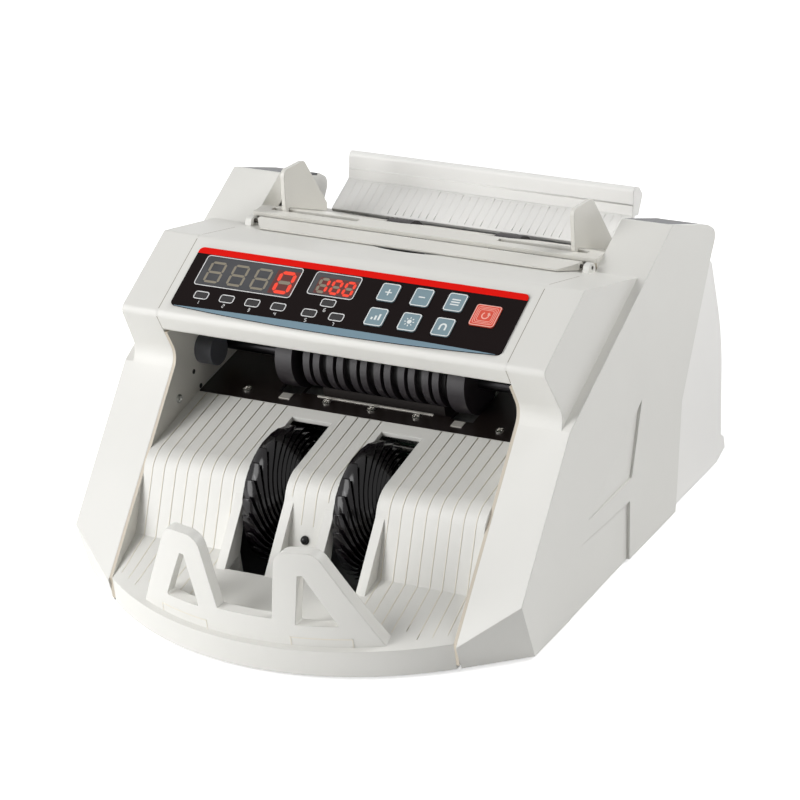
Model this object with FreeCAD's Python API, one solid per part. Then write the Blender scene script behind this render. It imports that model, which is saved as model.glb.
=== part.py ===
import FreeCAD, Part
import math
import os

os.makedirs("parts", exist_ok=True)
Vec = FreeCAD.Vector

# A banknote counting machine. Millimetres; X runs across the machine, Y from front to back and
# Z up from the table. The origin lies on the table under the middle of the machine.

# Casing
CASE_WIDTH = 290.0
SIDE_WIDTH = 32.0
CASE_WALL = 3.0
FOOT_HEIGHT = 2.0
FOOT_RADIUS = 9.0
FOOT_SIDE = 15.0
FRONT_FOOT_Y = -96.0
REAR_FOOT_Y = 108.0
COLUMN_FOOT_Y = -102.3
COLUMN_FOOT_Z = 36.0
COLUMN_ANGLE = 45.0
FACET_SETBACK = 7.0
SHOULDER_Z = 106.0
SLOPE_ANGLE = 24.7
CREST_Y = 100.5
BACK_ANGLE = 24.8
BACK_TOP_Y = 139.5
BACK_TIP_Y = 149.2
BACK_TIP_Z = 141.2
REAR_TOP_Y = 137.7
REAR_TOP_Z = 127.4
REAR_HIP_Y = 89.8
REAR_HIP_Z = 62.4
REAR_HEEL_Y = 69.5
EDGE_ROUND = 2.0
BACK_TIP_ROUND = 6.0
COVER_WINDOW_INSET = 14.0
CAP_THICKNESS = 1.4
CAP_RIM = 4.0
RECESS_DEPTH = 1.8
RECESS_START = 0.3
UPPER_RECESS = ((46.2, 85.6), (26.0, 47.1), (-24.6, 47.5))
LOWER_RECESS_TOP = ((-35.6, 37.2), (21.2, 34.9))
LOWER_RECESS_FOOT = (13.1, -56.0)

# Nose with the control panel
NOSE_TOP_Y = 13.0
NOSE_TOP_Z = 167.8
PANEL_LENGTH = 57.5
PANEL_ANGLE = 25.3
NOSE_TOP_ANGLE = 18.1
NOSE_LEAN_ANGLE = 20.0
NOSE_LIP_DROP = 13.0
NOSE_RETURN = 22.0
NOSE_ROUND = 4.0
NOTCH_ROUND = 12.0
NOSE_FLANK_SET = 5.5
NOSE_FLANK_ANGLE = 4.3
HOUSING_END_Y = 66.0

# Control panel, measured down the slope from the nose's top edge
OVERLAY_SIDE = 6.0
OVERLAY_TOP = 8.2
OVERLAY_BOTTOM = 50.3
OVERLAY_BOW = 3.2
OVERLAY_THICKNESS = 0.8
OVERLAY_ROUND = 3.0
KEY_WIDTH = 11.6
KEY_HEIGHT = 12.0
KEY_RISE = 0.6
KEY_COLUMNS = 3
KEY_ROWS = (20.8, 38.0)
KEY_TRAVEL = 0.5
RESTART_WIDTH = 15.6
RESTART_HEIGHT = 14.2
RESTART_DOWN = 26.6
KEY_CLEARANCE = 0.3
KEY_ROUND = 1.5
STEM_SIZE = 5.0
SWITCH_BUTTON = 1.6
MAIN_WINDOW_WIDTH = 62.4
MAIN_WINDOW_DOWN = 23.6
MAIN_WINDOW_HEIGHT = 19.6
BATCH_WINDOW_WIDTH = 28.4
BATCH_WINDOW_DOWN = 21.2
BATCH_WINDOW_HEIGHT = 14.4
WINDOW_SEAT = 1.5
WINDOW_ROUND = 1.0
# Gaps along the panel from left to right, which share what the film's width leaves:
# edge, main window, batch window, three key columns, restart key, edge
PANEL_GAPS = (8.6, 10.2, 15.0, 9.7, 9.7, 7.8, 11.8)
LAMP_WIDTH = 8.6
LAMP_HEIGHT = 4.6
LAMP_RADIUS = 1.9
MAIN_LAMPS = 4
MAIN_LAMP_PITCH = 17.07
MAIN_LAMP_SHIFT = 2.6
MAIN_LAMP_DOWN = 40.9
BATCH_LAMPS = ((-6.7, 41.8), (1.7, 33.4), (11.0, 41.8))
BOARD_DEPTH = 8.0
BOARD_THICKNESS = 1.6
BOARD_MARGIN = 6.0
POST_RADIUS = 3.0

# Stacker tray
TRAY_RADIUS = 190.0
TRAY_FRONT_Y = -156.5
TRAY_WALL = 2.5
TRAY_LIP_Z = 17.5
FLOOR_CORNER_Y = -93.0
FLOOR_CORNER_Z = 31.0
HUMP_LEAN_ANGLE = 28.0
HUMP_TOP_ANGLE = 10.0
HUMP_REAR_Y = -13.4
HUMP_REAR_Z = 81.6
HUMP_ROUND = 18.0
WHEEL_X = 29.5
SLOT_SIDE_GAP = 2.0
SLOT_REAR_Y = -22.0
SLOT_FRONT_Y = -106.0
FIN_WIDTH = 6.0
FIN_TOP_Z = 60.0
FIN_FRONT_Y = -109.0
FENCE_INSET = 3.5
FENCE_THICKNESS = 7.0
FENCE_FOOT_Z = 13.0
LOW_WALL_Z = 33.5
STOP_TOP_Z = 76.0
STOP_INNER_FOOT = 14.0
STOP_INNER_TOP = 25.0
STOP_OUTER_TOP = 48.0
STOP_OUTER_FOOT = 81.0
STOP_ROUND = 9.0
STOP_LEG = 14.0
STOP_BAR_Z = 31.0
STOP_HOLE_ROUND = 1.0
SENSOR_Z = 43.0
SENSOR_RADIUS = 2.6

# Chassis
PLATE_THICKNESS = 2.0
BASE_THICKNESS = 2.5
BASE_FRONT_Y = -114.0
PLATE_REAR_GAP = 12.0
TIE_RADIUS = 4.0
TIE_PLACES = ((58.0, 18.0), (90.0, 112.0), (14.0, 56.0))

# Shafts, wheels and rollers
RUN_FIT = 0.05
BUSH_RADIUS = 6.0
BUSH_FLANGE = 8.0
BUSH_LENGTH = 4.0
IMPELLER_Y = -50.0
IMPELLER_Z = 46.0
IMPELLER_SHAFT_RADIUS = 3.0
IMPELLER_RADIUS = 39.5
IMPELLER_WIDTH = 22.0
IMPELLER_TAPER = 3.5
IMPELLER_HUB = 9.0
BLADES = 14
BLADE_SWEEP_ANGLE = 112.0
BLADE_ROOT_ANGLE = 6.0
BLADE_TIP_ANGLE = 1.6
BLADE_BOW = 0.48
FEED_Y = 15.0
FEED_Z = 100.0
FEED_SHAFT_RADIUS = 4.0
FEED_CORE_RADIUS = 13.5
FEED_RING_RADIUS = 17.0
FEED_RING_WIDTH = 4.2
FEED_RING_GAP = 6.6
FEED_RING_PITCH = 15.6
FEED_RING_PAIRS = 6
FEED_WHEEL_RADIUS = 19.0
FEED_WHEEL_WIDTH = 11.0
FEED_WHEEL_X = 56.5
PICKUP_SHAFT_RADIUS = 3.0
PICKUP_ROLLER_RADIUS = 14.0
PICKUP_ROLLER_WIDTH = 16.0
PICKUP_ROLLER_X = 36.0
PICKUP_PROUD = 2.0
PICKUP_SETBACK = 9.0
ROLLER_GAP = 2.0

# Note path under the nose
DECK_FRONT_GAP = 0.6
DECK_ANGLE = 6.7
DECK_REAR_Y = 45.0
DECK_THICKNESS = 2.0
TAB_WIDTH = 7.0
TAB_LENGTH = 5.0
TAB_THICKNESS = 0.5
TAB_SETBACK = 1.0
PAD_HALF_WIDTH = 40.0
PAD_LENGTH = 14.0
PAD_GAP = 0.4
PAD_WRAP = 2.0
BRACKET_Z = 70.0
BRACKET_THICKNESS = 3.0
BRACKET_MARGIN = 2.0
SIDE_SENSOR_Y = -3.0
SIDE_SENSOR_Z = 104.5
SIDE_SENSOR_RADIUS = 9.0
SIDE_SENSOR_LENGTH = 11.0

# Hopper
HOPPER_FRONT_Y = 68.0
HOPPER_FRONT_Z = 157.4
HOPPER_BEND_Y = 79.0
HOPPER_BEND_Z = 156.4
HOPPER_ANGLE = 27.5
HOPPER_LOW_Y = 116.5
HOPPER_SHEET = 2.5
BACK_PLATE_SIDE = 18.0
BACK_PLATE_FRONT_Y = 121.0
BACK_PLATE_FRONT_Z = 136.8
RIDGE_Y = 143.0
RIDGE_Z = 146.4
RIDGE_HEIGHT = 16.1
RIDGE_REAR_Y = 156.87
RIDGE_ROUND = 3.0
RIDGE_HEEL_ROUND = 2.0
# Shares of the ridge's depth and height: foot of the roll, crest, back edge, heel
RIDGE_PROFILE = ((0.12, 0.36), (0.33, 1.0), (0.78, 0.82), (1.0, 0.45))
RIDGE_UNDERCUT = 0.45
APRON_Y = 142.0
RIB_X = 60.0
RIB_WIDTH = 3.0
RIB_FOOT = 4.0
RIB_REACH = 5.0
LID_SIDE = 7.5
LID_FRONT_Y = 50.8
LID_TOP_Z = 157.2
LID_AXIS_Y = 63.0
LID_AXIS_Z = 154.3
LID_BARREL = 2.7
LID_GAP = 0.4
LID_FRONT_DROP = 0.4
LID_REAR_DROP = 0.2
LID_END_SQUARE = 2.0
LID_END_SLANT = 8.0
LID_PIN_RADIUS = 1.2
LID_PIN_LENGTH = 7.5
LID_PIN_GAP = 0.5
EAR_WIDTH = 4.0
EAR_HEIGHT = 3.0
SCOOP_WIDTH = 44.0
SCOOP_DEPTH = 4.8
SCOOP_SINK = 2.2
GUIDE_SIDE = 19.0
GUIDE_THICKNESS = 2.6
GUIDE_FRONT_Y = 74.0
GUIDE_TOP_Y = 77.3
GUIDE_TOP_Z = 181.0
GUIDE_PEAK_Y = 99.0
GUIDE_PEAK_Z = 178.0
GUIDE_TAIL_Y = 116.0
GUIDE_TAIL_RISE = 5.0
GUIDE_LIFT = 0.5
GUIDE_ROUND = 4.0
GUIDE_TAIL_ROUND = 2.0
GUIDE_TAIL_CUT = 1.0
GUIDE_FOOT_GAP = 0.4
GUIDE_FOOT_REACH = 3.0
GUIDE_SLOT_Y = 75.5
GUIDE_SLOT_HALF = 1.8
GUIDE_SLOT_INWARD = 48.0
GUIDE_SLOT_OUTWARD = 10.0
GUIDE_RAIL_RADIUS = 3.0
GUIDE_RAIL_DROP = 11.0
GUIDE_BLOCK = 11.0

# Drive
PULLEY_WIDTH = 6.0
FLANGE_THICKNESS = 1.0
FLANGE_RISE = 2.2
BELT_THICKNESS = 1.5
BELT_GAP = 0.3
FEED_MOTOR_Y = 45.0
FEED_MOTOR_Z = 50.0
FEED_MOTOR_RADIUS = 22.0
STACK_MOTOR_Y = 0.0
STACK_MOTOR_Z = 32.0
STACK_MOTOR_RADIUS = 18.0
MOTOR_LENGTH = 56.0
MOTOR_SHAFT_RADIUS = 2.5
MOTOR_SHAFT_LENGTH = 14.0
MOTOR_BORE_GAP = 1.0
BELL_RADIUS = 8.0
BELL_LENGTH = 5.0
FEED_DRIVE_RADIUS = 9.0
STACK_DRIVE_RADIUS = 8.0
IMPELLER_PULLEY_RADIUS = 15.0
FEED_PULLEY_RADIUS = 11.0
PICKUP_PULLEY_RADIUS = 13.0
SIDE_PULLEY_RADIUS = 11.0
PULLEY_GAP = 1.0
ENCODER_RADIUS = 14.0
ENCODER_THICKNESS = 1.0
ENCODER_SLOTS = 16
ENCODER_RIM = 1.0
ENCODER_SLOT_LENGTH = 3.0
ENCODER_SLOT_WIDTH = 1.2

# Rear cover and mains fittings
REAR_COVER_INSET = 4.0
REAR_COVER_WALL = 2.5
REAR_COVER_TOP_Z = 124.0
REAR_BOTTOM_Y = 129.0
REAR_RIM_Y = 140.0
REAR_RIM_LOW_Z = 6.0
REAR_RIM_TOP_Z = 13.0
REAR_WAIST_Y = 137.0
REAR_BULGE_Y = 150.0
REAR_BULGE_Z = 75.0
REAR_SHOULDER_Y = 146.5
REAR_SHOULDER_ROUND = 4.0
REAR_BULGE_ROUND = 133.0
POCKET_ROUND = 3.0
MAINS_PANEL_Y = 131.0
MAINS_PANEL_SIDE = 15.0
MAINS_PANEL_WIDTH = 84.0
MAINS_PANEL_Z = 33.0
MAINS_PANEL_HEIGHT = 34.0
# Gaps along the mains panel, which share what its width leaves: edge, inlet, switch, fuse, edge
MAINS_GAPS = (6.0, 10.0, 3.0, 1.0)
INLET_WIDTH = 27.0
INLET_HEIGHT = 20.0
INLET_FLANGE = 2.5
INLET_FLANGE_THICKNESS = 2.0
INLET_DEPTH = 24.0
INLET_ROUND = 2.0
SOCKET_WIDTH = 24.0
SOCKET_HEIGHT = 16.5
SOCKET_DEPTH = 15.0
PIN_LENGTH = 10.0
PIN_WIDTH = 2.0
PIN_HEIGHT = 4.0
PINS = ((-7.0, -2.0), (0.0, 2.0), (7.0, -2.0))
SWITCH_WIDTH = 13.0
SWITCH_HEIGHT = 19.0
SWITCH_DEPTH = 16.0
SWITCH_EDGE = 1.5
ROCKER_GAP = 0.4
ROCKER_AXIS_DEPTH = 2.0
ROCKER_RISE = 5.2
ROCKER_DISH = 1.6
ROCKER_KEEL = 3.0
ROCKER_SHOULDER = 1.0
ROCKER_PIN_RADIUS = 1.0
ROCKER_ANGLE = 8.0
FUSE_RADIUS = 6.0
FUSE_DEPTH = 20.0
FUSE_CAP_RIM = 2.0
FUSE_CAP_HEIGHT = 4.0
FUSE_SLOT_WIDTH = 1.2
FUSE_SLOT_DEPTH = 1.2
KNOB_Z = 97.0
KNOB_POCKET_Y = 139.0
KNOB_POCKET_SIZE = 34.0
KNOB_RADIUS = 11.0
KNOB_LENGTH = 8.5
KNOB_GAP = 0.5
KNOB_FLUTES = 16
KNOB_COLLAR = 1.5
FLUTE_RADIUS = 1.0
SPINDLE_RADIUS = 3.0
SPINDLE_TAIL = 6.0
ADJUSTER_Y = 66.0
ADJUSTER_THICKNESS = 4.0
ADJUSTER_HEIGHT = 16.0
VENT_COUNT = 9
VENT_PITCH = 7.0
VENT_WIDTH = 46.0
VENT_HEIGHT = 3.0
VENT_SIDE = 38.0
VENT_Z = 64.0

# Electronics and power
MAIN_BOARD_SIDE = 15.0
MAIN_BOARD_WIDTH = 116.0
MAIN_BOARD_Y = 24.0
MAIN_BOARD_LENGTH = 52.0
SPACER_HEIGHT = 8.0
SPACER_INSET = 5.0
SINK_SIDE = 12.0
SINK_FRONT = 4.0
SINK_WIDTH = 30.0
SINK_LENGTH = 6.0
SINK_HEIGHT = 22.0
CHIP_WIDTH = 20.0
CHIP_LENGTH = 8.0
CHIP_HEIGHT = 4.0
CANS = 3
CAN_PITCH = 14.0
CAN_RADIUS = 5.0
CAN_HEIGHT = 16.0
CAN_INSET = 12.0
CORE_SIDE = 18.0
CORE_WIDTH = 54.0
CORE_Y = 100.0
CORE_LENGTH = 24.0
CORE_HEIGHT = 46.0
COIL_WIDTH = 34.0
COIL_LENGTH = 40.0
COIL_ROUND = 3.0

FAR = 400.0


# Values worked out from the sizes above

def rise(run, angle):
    return run * math.tan(math.radians(angle))


HALF = CASE_WIDTH / 2
INNER = HALF - SIDE_WIDTH
PLATE_IN = INNER - PLATE_THICKNESS
FOOT_X = INNER - FOOT_SIDE
NOSE_FLANK_X = HALF - NOSE_FLANK_SET
OVERLAY_WIDTH = 2 * (INNER - OVERLAY_SIDE)
LID_HALF = INNER - LID_SIDE
BACK_PLATE_HALF = INNER - BACK_PLATE_SIDE
GUIDE_X = INNER - GUIDE_SIDE
BASE_TOP = FOOT_HEIGHT + BASE_THICKNESS
SHOULDER_Y = COLUMN_FOOT_Y + rise(SHOULDER_Z - COLUMN_FOOT_Z, 90 - COLUMN_ANGLE)
CREST_Z = SHOULDER_Z + rise(CREST_Y - SHOULDER_Y, SLOPE_ANGLE)
BACK_TOP_Z = CREST_Z - rise(BACK_TOP_Y - CREST_Y, BACK_ANGLE)
CREASE_Y = NOSE_TOP_Y - PANEL_LENGTH * math.cos(math.radians(PANEL_ANGLE))
CREASE_Z = NOSE_TOP_Z - PANEL_LENGTH * math.sin(math.radians(PANEL_ANGLE))
LIP_Y = CREASE_Y + rise(NOSE_LIP_DROP, NOSE_LEAN_ANGLE)
LIP_Z = CREASE_Z - NOSE_LIP_DROP
TRAY_CENTRE_Y = TRAY_FRONT_Y + TRAY_RADIUS
TRAY_END_Y = TRAY_CENTRE_Y - math.sqrt(TRAY_RADIUS ** 2 - PLATE_IN ** 2)
COVER_TOE_Y = TRAY_CENTRE_Y - math.sqrt(TRAY_RADIUS ** 2 - INNER ** 2)
HOPPER_LOW_Z = HOPPER_BEND_Z - rise(HOPPER_LOW_Y - HOPPER_BEND_Y, HOPPER_ANGLE)
SLOT_HALF = IMPELLER_WIDTH / 2 + SLOT_SIDE_GAP
REAR_COVER_X = HALF - REAR_COVER_INSET
SHAFT_END = INNER + BUSH_LENGTH
BELT_PLANE = SHAFT_END + ENCODER_THICKNESS + PULLEY_GAP
MAINS_PANEL_X = REAR_COVER_X - MAINS_PANEL_SIDE - MAINS_PANEL_WIDTH / 2
VENT_X = VENT_SIDE + VENT_WIDTH / 2 - REAR_COVER_X
MAIN_BOARD_X = PLATE_IN - MAIN_BOARD_SIDE - MAIN_BOARD_WIDTH / 2
CORE_X = CORE_SIDE + CORE_WIDTH / 2 - PLATE_IN
BRACKET_TOP = BRACKET_Z + BRACKET_THICKNESS


def spread(middle, width, pieces, gaps):
    """Middles of pieces in a row; the gaps keep their proportions and fill the width."""
    share = (width - sum(pieces)) / sum(gaps)
    x = middle - width / 2
    places = []
    for gap, piece in zip(gaps, pieces):
        x += gap * share
        places.append(x + piece / 2)
        x += piece
    return places


PANEL_PIECES = [MAIN_WINDOW_WIDTH, BATCH_WINDOW_WIDTH] + [KEY_WIDTH] * KEY_COLUMNS + [RESTART_WIDTH]
MAIN_WINDOW_X, BATCH_WINDOW_X, *KEY_X, RESTART_X = spread(0, OVERLAY_WIDTH, PANEL_PIECES, PANEL_GAPS)
FUSE_CAP_RADIUS = FUSE_RADIUS + FUSE_CAP_RIM
MAINS_PIECES = [INLET_WIDTH + 2 * INLET_FLANGE, SWITCH_WIDTH + 2 * SWITCH_EDGE, 2 * FUSE_CAP_RADIUS]
INLET_X, SWITCH_X, FUSE_X = spread(MAINS_PANEL_X, MAINS_PANEL_WIDTH, MAINS_PIECES, MAINS_GAPS)


def nose_top(y):
    """Height of the nose's top face, which falls towards the back."""
    return NOSE_TOP_Z - rise(y - NOSE_TOP_Y, NOSE_TOP_ANGLE)


def slope(y):
    """Height of the side covers' long upper slope."""
    return SHOULDER_Z + rise(y - SHOULDER_Y, SLOPE_ANGLE)


def column(z):
    """Depth of the front column's face at a height."""
    return COLUMN_FOOT_Y + rise(z - COLUMN_FOOT_Z, 90 - COLUMN_ANGLE)


def nose_front(z):
    """Depth of the nose's front face under its crease."""
    return CREASE_Y + rise(CREASE_Z - z, NOSE_LEAN_ANGLE)


def hump_face(z):
    """Depth of the hump's leaning front face at a height."""
    return FLOOR_CORNER_Y + rise(z - FLOOR_CORNER_Z, HUMP_LEAN_ANGLE)


def hopper_floor(y):
    """Height of the hopper floor, which falls towards the back."""
    return HOPPER_BEND_Z - rise(y - HOPPER_BEND_Y, HOPPER_ANGLE)


def line_meet(f, g, low, high):
    """Where two falling or rising straight lines f and g have the same value."""
    gap_low = f(low) - g(low)
    gap_high = f(high) - g(high)
    return low + (high - low) * gap_low / (gap_low - gap_high)


NOSE_MEET_Y = line_meet(nose_top, slope, NOSE_TOP_Y, CREST_Y)
NOTCH_Z = line_meet(column, nose_front, COLUMN_FOOT_Z, CREASE_Z)


def hump_top(z):
    """Depth of the hump's gently falling top face at a height."""
    return HUMP_REAR_Y - rise(HUMP_REAR_Z - z, 90 - HUMP_TOP_ANGLE)


HUMP_CORNER_Z = line_meet(hump_face, hump_top, FLOOR_CORNER_Z, HUMP_REAR_Z)
PICKUP_REACH = PICKUP_ROLLER_RADIUS - PICKUP_PROUD
PICKUP_MARK_Y = HOPPER_LOW_Y - PICKUP_SETBACK
PICKUP_Y = PICKUP_MARK_Y - PICKUP_REACH * math.sin(math.radians(HOPPER_ANGLE))
PICKUP_Z = hopper_floor(PICKUP_MARK_Y) - PICKUP_REACH * math.cos(math.radians(HOPPER_ANGLE))
GUIDE_RAIL_Z = HOPPER_BEND_Z - GUIDE_RAIL_DROP


# Shapes that several pieces use

def across(y, z):
    return Vec(0, y, z)


def facing(x, z):
    return Vec(x, 0, z)


def lying(x, y):
    return Vec(x, y, 0)


def corner_arc(before, point, after, radius):
    """Start, middle and end of the arc that rounds a corner and meets both sides smoothly."""
    one = (before - point).normalize()
    two = (after - point).normalize()
    half = one.getAngle(two) / 2
    centre = point + (one + two).normalize() * (radius / math.sin(half))
    reach = radius / math.tan(half)
    middle = centre + (point - centre).normalize() * radius
    return point + one * reach, middle, point + two * reach


def outline(points, plane):
    """Closed wire through flat points; a third number in a point rounds its corner."""
    spots = [plane(*p[:2]) for p in points]
    count = len(points)
    stops = []
    for i, p in enumerate(points):
        if len(p) > 2 and p[2] > 0:
            stops.append(corner_arc(spots[i - 1], spots[i], spots[(i + 1) % count], p[2]))
        else:
            stops.append((spots[i], None, spots[i]))
    edges = []
    for i, (start, middle, end) in enumerate(stops):
        if middle is not None:
            edges.append(Part.Arc(start, middle, end).toShape())
        following = stops[(i + 1) % count][0]
        if (following - end).Length > 1e-6:
            edges.append(Part.makeLine(end, following))
    return Part.Wire(edges)


def slab(points, x0, x1):
    """Solid with a side-view outline, from x0 to x1."""
    face = Part.Face(outline(points, across))
    face.translate(Vec(x0, 0, 0))
    return face.extrude(Vec(x1 - x0, 0, 0))


def inset_slab(points, inset, x0, x1):
    """Slab whose outline lies inside the given one by a wall thickness."""
    face = Part.Face(outline(points, across)).makeOffset2D(-inset)
    face.translate(Vec(x0, 0, 0))
    return face.extrude(Vec(x1 - x0, 0, 0))


def front_slab(points, y0, y1):
    """Solid with a front-view outline, from y0 to y1."""
    face = Part.Face(outline(points, facing))
    face.translate(Vec(0, y0, 0))
    return face.extrude(Vec(0, y1 - y0, 0))


def plan_slab(points, z0, z1):
    """Solid with a plan outline, from z0 to z1."""
    face = Part.Face(outline(points, lying))
    face.translate(Vec(0, 0, z0))
    return face.extrude(Vec(0, 0, z1 - z0))


def box(x0, x1, y0, y1, z0, z1):
    return Part.makeBox(x1 - x0, y1 - y0, z1 - z0, Vec(x0, y0, z0))


def rod(y, z, radius, x0, x1):
    """Round bar along X."""
    return Part.makeCylinder(radius, x1 - x0, Vec(x0, y, z), Vec(1, 0, 0))


def post(x, y, radius, z0, z1):
    """Round bar along Z."""
    return Part.makeCylinder(radius, z1 - z0, Vec(x, y, z0))


def stud(x, z, radius, y0, y1):
    """Round bar along Y."""
    return Part.makeCylinder(radius, y1 - y0, Vec(x, y0, z), Vec(0, 1, 0))


def mirrored(shape):
    return shape.mirror(Vec(0, 0, 0), Vec(1, 0, 0))


def both(shape):
    """A piece and its mirror image, as two separate solids."""
    return Part.makeCompound([shape, mirrored(shape)])


def offset_path(points, distance):
    """Copy of an open path moved sideways, left of its direction where the distance is positive."""
    flat = [Vec(p[0], p[1], 0) for p in points]
    ways = [(b - a).normalize() for a, b in zip(flat, flat[1:])]
    sides = [Vec(-w.y, w.x, 0) for w in ways]
    moved = []
    for i, p in enumerate(points):
        before = sides[max(i - 1, 0)]
        after = sides[min(i, len(sides) - 1)]
        spot = flat[i] + (before + after) * (distance / (1 + before.dot(after)))
        if len(p) > 2:
            turn = ways[i - 1].cross(ways[i]).z
            moved.append((spot.x, spot.y, p[2] - math.copysign(distance, turn * distance)))
        else:
            moved.append((spot.x, spot.y))
    return moved


def strip(points, thickness, x0, x1):
    """Sheet bent along an open side-view path; the thickness lies left of the path."""
    return slab(points + offset_path(points, thickness)[::-1], x0, x1)


def on_panel(shape):
    """Move a shape from panel coordinates (across, up the slope, outwards) onto the nose."""
    turned = shape.copy()
    turned.Placement = FreeCAD.Placement(
        Vec(0, NOSE_TOP_Y, NOSE_TOP_Z), FreeCAD.Rotation(Vec(1, 0, 0), PANEL_ANGLE)
    ).multiply(turned.Placement)
    return turned


def tablet(x, down, width, height, low, high, radius=0.0):
    """Rounded block in panel coordinates, between two depths."""
    left, right = x - width / 2, x + width / 2
    top, bottom = -down + height / 2, -down - height / 2
    corners = ((left, bottom), (right, bottom), (right, top), (left, top))
    return plan_slab([(a, b, radius) for a, b in corners], low, high)


def save(name, shape):
    shape.exportStep("parts/%s.step" % name)


# Side covers

def side_points():
    """Outer side-view outline of a side cover."""
    toe = column(FOOT_HEIGHT)
    return [
        (toe, FOOT_HEIGHT),
        (SHOULDER_Y, SHOULDER_Z),
        (CREST_Y, CREST_Z, EDGE_ROUND),
        (BACK_TOP_Y, BACK_TOP_Z, EDGE_ROUND),
        (BACK_TIP_Y, BACK_TIP_Z, BACK_TIP_ROUND),
        (REAR_TOP_Y, REAR_TOP_Z),
        (REAR_HIP_Y, REAR_HIP_Z),
        (REAR_HEEL_Y, FOOT_HEIGHT),
    ]


def nose_points():
    """Side-view outline of a side cover where it carries the end of the nose."""
    return [
        side_points()[0],
        (column(NOTCH_Z), NOTCH_Z, NOTCH_ROUND),
        (CREASE_Y, CREASE_Z, NOSE_ROUND),
        (NOSE_TOP_Y, NOSE_TOP_Z, EDGE_ROUND),
        (NOSE_MEET_Y, slope(NOSE_MEET_Y)),
    ] + side_points()[2:]


def facet_front(inset):
    """Everything in front of the leaning facet below the column, moved back by an inset."""
    run = HALF - INNER
    fall = COVER_TOE_Y - (COLUMN_FOOT_Y + FACET_SETBACK)
    back = inset * math.hypot(run, fall) / run
    near = COLUMN_FOOT_Y + FACET_SETBACK + back
    over = [near - fall, near + 2 * fall]
    corners = [(HALF + run, over[0]), (HALF - 2 * run, over[1]), (HALF - 2 * run, -FAR), (HALF + run, -FAR)]
    face = Part.Face(outline(corners, lying))
    face.translate(Vec(0, 0, FOOT_HEIGHT))
    lift = COLUMN_FOOT_Z - FOOT_HEIGHT
    return face.extrude(Vec(0, -FACET_SETBACK, lift) * 2)


def nose_flank(inset):
    """Everything outside the drafted flank of the nose, moved inwards by an inset."""
    tilt = math.radians(NOSE_FLANK_ANGLE)
    along = Vec(0, math.cos(math.radians(SLOPE_ANGLE)), math.sin(math.radians(SLOPE_ANGLE)))
    up = Vec(1, 0, 0).cross(along)
    outward = Vec(1, 0, 0) * math.cos(tilt) + up * math.sin(tilt)
    start = Vec(NOSE_FLANK_X - inset, SHOULDER_Y, SHOULDER_Z)
    block = Part.makeBox(FAR, 2 * FAR, 2 * FAR, Vec(0, -FAR, -FAR))
    block.Placement = FreeCAD.Placement(start, FreeCAD.Rotation(outward, along, outward.cross(along), "XYZ"))
    return block


def cover_block(inset, x0):
    """The cover's filled form, or its hollow when inset by the wall."""
    x1 = HALF - inset
    nose = inset_slab(nose_points(), inset, x0, x1) if inset else slab(nose_points(), x0, x1)
    body = inset_slab(side_points(), inset, x0, x1) if inset else slab(side_points(), x0, x1)
    return body.fuse(nose.cut(nose_flank(inset))).cut(facet_front(inset))


def recess(points):
    """Shallow panel in the outer wall that starts nearly flush in front and deepens to the back."""
    front_y = min(p[0] for p in points)
    rear_y = max(p[0] for p in points)
    ramp = [
        (HALF - RECESS_START, front_y),
        (HALF - RECESS_DEPTH, rear_y),
        (HALF + 1, rear_y),
        (HALF + 1, front_y),
    ]
    wedge = plan_slab(ramp, FOOT_HEIGHT - 1, FAR)
    return slab(points, HALF - 2 * RECESS_DEPTH, HALF + 1).common(wedge)


def cover_recesses():
    """The two sunk panels that leave a raised frame on the outer wall."""
    lower = list(LOWER_RECESS_TOP) + [(y, FOOT_HEIGHT - 1) for y in LOWER_RECESS_FOOT]
    return recess(UPPER_RECESS).fuse(recess(lower))


def cap_shape():
    """Dark cap let into the top face that falls to the back."""
    start = Vec(0, CREST_Y, CREST_Z)
    way = (Vec(0, BACK_TOP_Y, BACK_TOP_Z) - start).normalize()
    first = start + way * EDGE_ROUND
    last = Vec(0, BACK_TOP_Y, BACK_TOP_Z) - way * EDGE_ROUND
    path = [(first.y, first.z), (last.y, last.z)]
    return strip(path, -CAP_THICKNESS, INNER, HALF - CAP_RIM)


def side_cover():
    """Right-hand cover: one moulding with the column, the long slope and the end of the nose."""
    window = inset_slab(side_points(), COVER_WINDOW_INSET, INNER, INNER + 2 * CASE_WALL)
    shell = cover_block(0, INNER).cut(cover_block(CASE_WALL, INNER + CASE_WALL))
    return shell.cut(window).cut(cover_recesses()).cut(cap_shape())


# Nose housing and control panel

def housing_path():
    """Outer side-view path of the nose, from its back edge round the front to its underside."""
    return [
        (HOUSING_END_Y, nose_top(HOUSING_END_Y)),
        (NOSE_TOP_Y, NOSE_TOP_Z, EDGE_ROUND + CASE_WALL),
        (CREASE_Y, CREASE_Z, NOSE_ROUND),
        (LIP_Y, LIP_Z, NOSE_ROUND),
        (LIP_Y + NOSE_RETURN, LIP_Z),
    ]


def key_places():
    """Name, place down the slope and size of every key."""
    names = (("key_plus", "key_minus", "key_batch"), ("key_add", "key_lamp", "key_magnet"))
    for row, down in zip(names, KEY_ROWS):
        for i, name in enumerate(row):
            yield name, KEY_X[i], down, KEY_WIDTH, KEY_HEIGHT
    yield "key_restart", RESTART_X, RESTART_DOWN, RESTART_WIDTH, RESTART_HEIGHT


def lamp_places():
    """Middles of the indicator lamps: a row under the main window and three by the batch window."""
    for i in range(MAIN_LAMPS):
        offset = MAIN_LAMP_SHIFT + (i - (MAIN_LAMPS - 1) / 2) * MAIN_LAMP_PITCH
        yield MAIN_WINDOW_X + offset, MAIN_LAMP_DOWN
    for across_x, down in BATCH_LAMPS:
        yield BATCH_WINDOW_X + across_x, down


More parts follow.
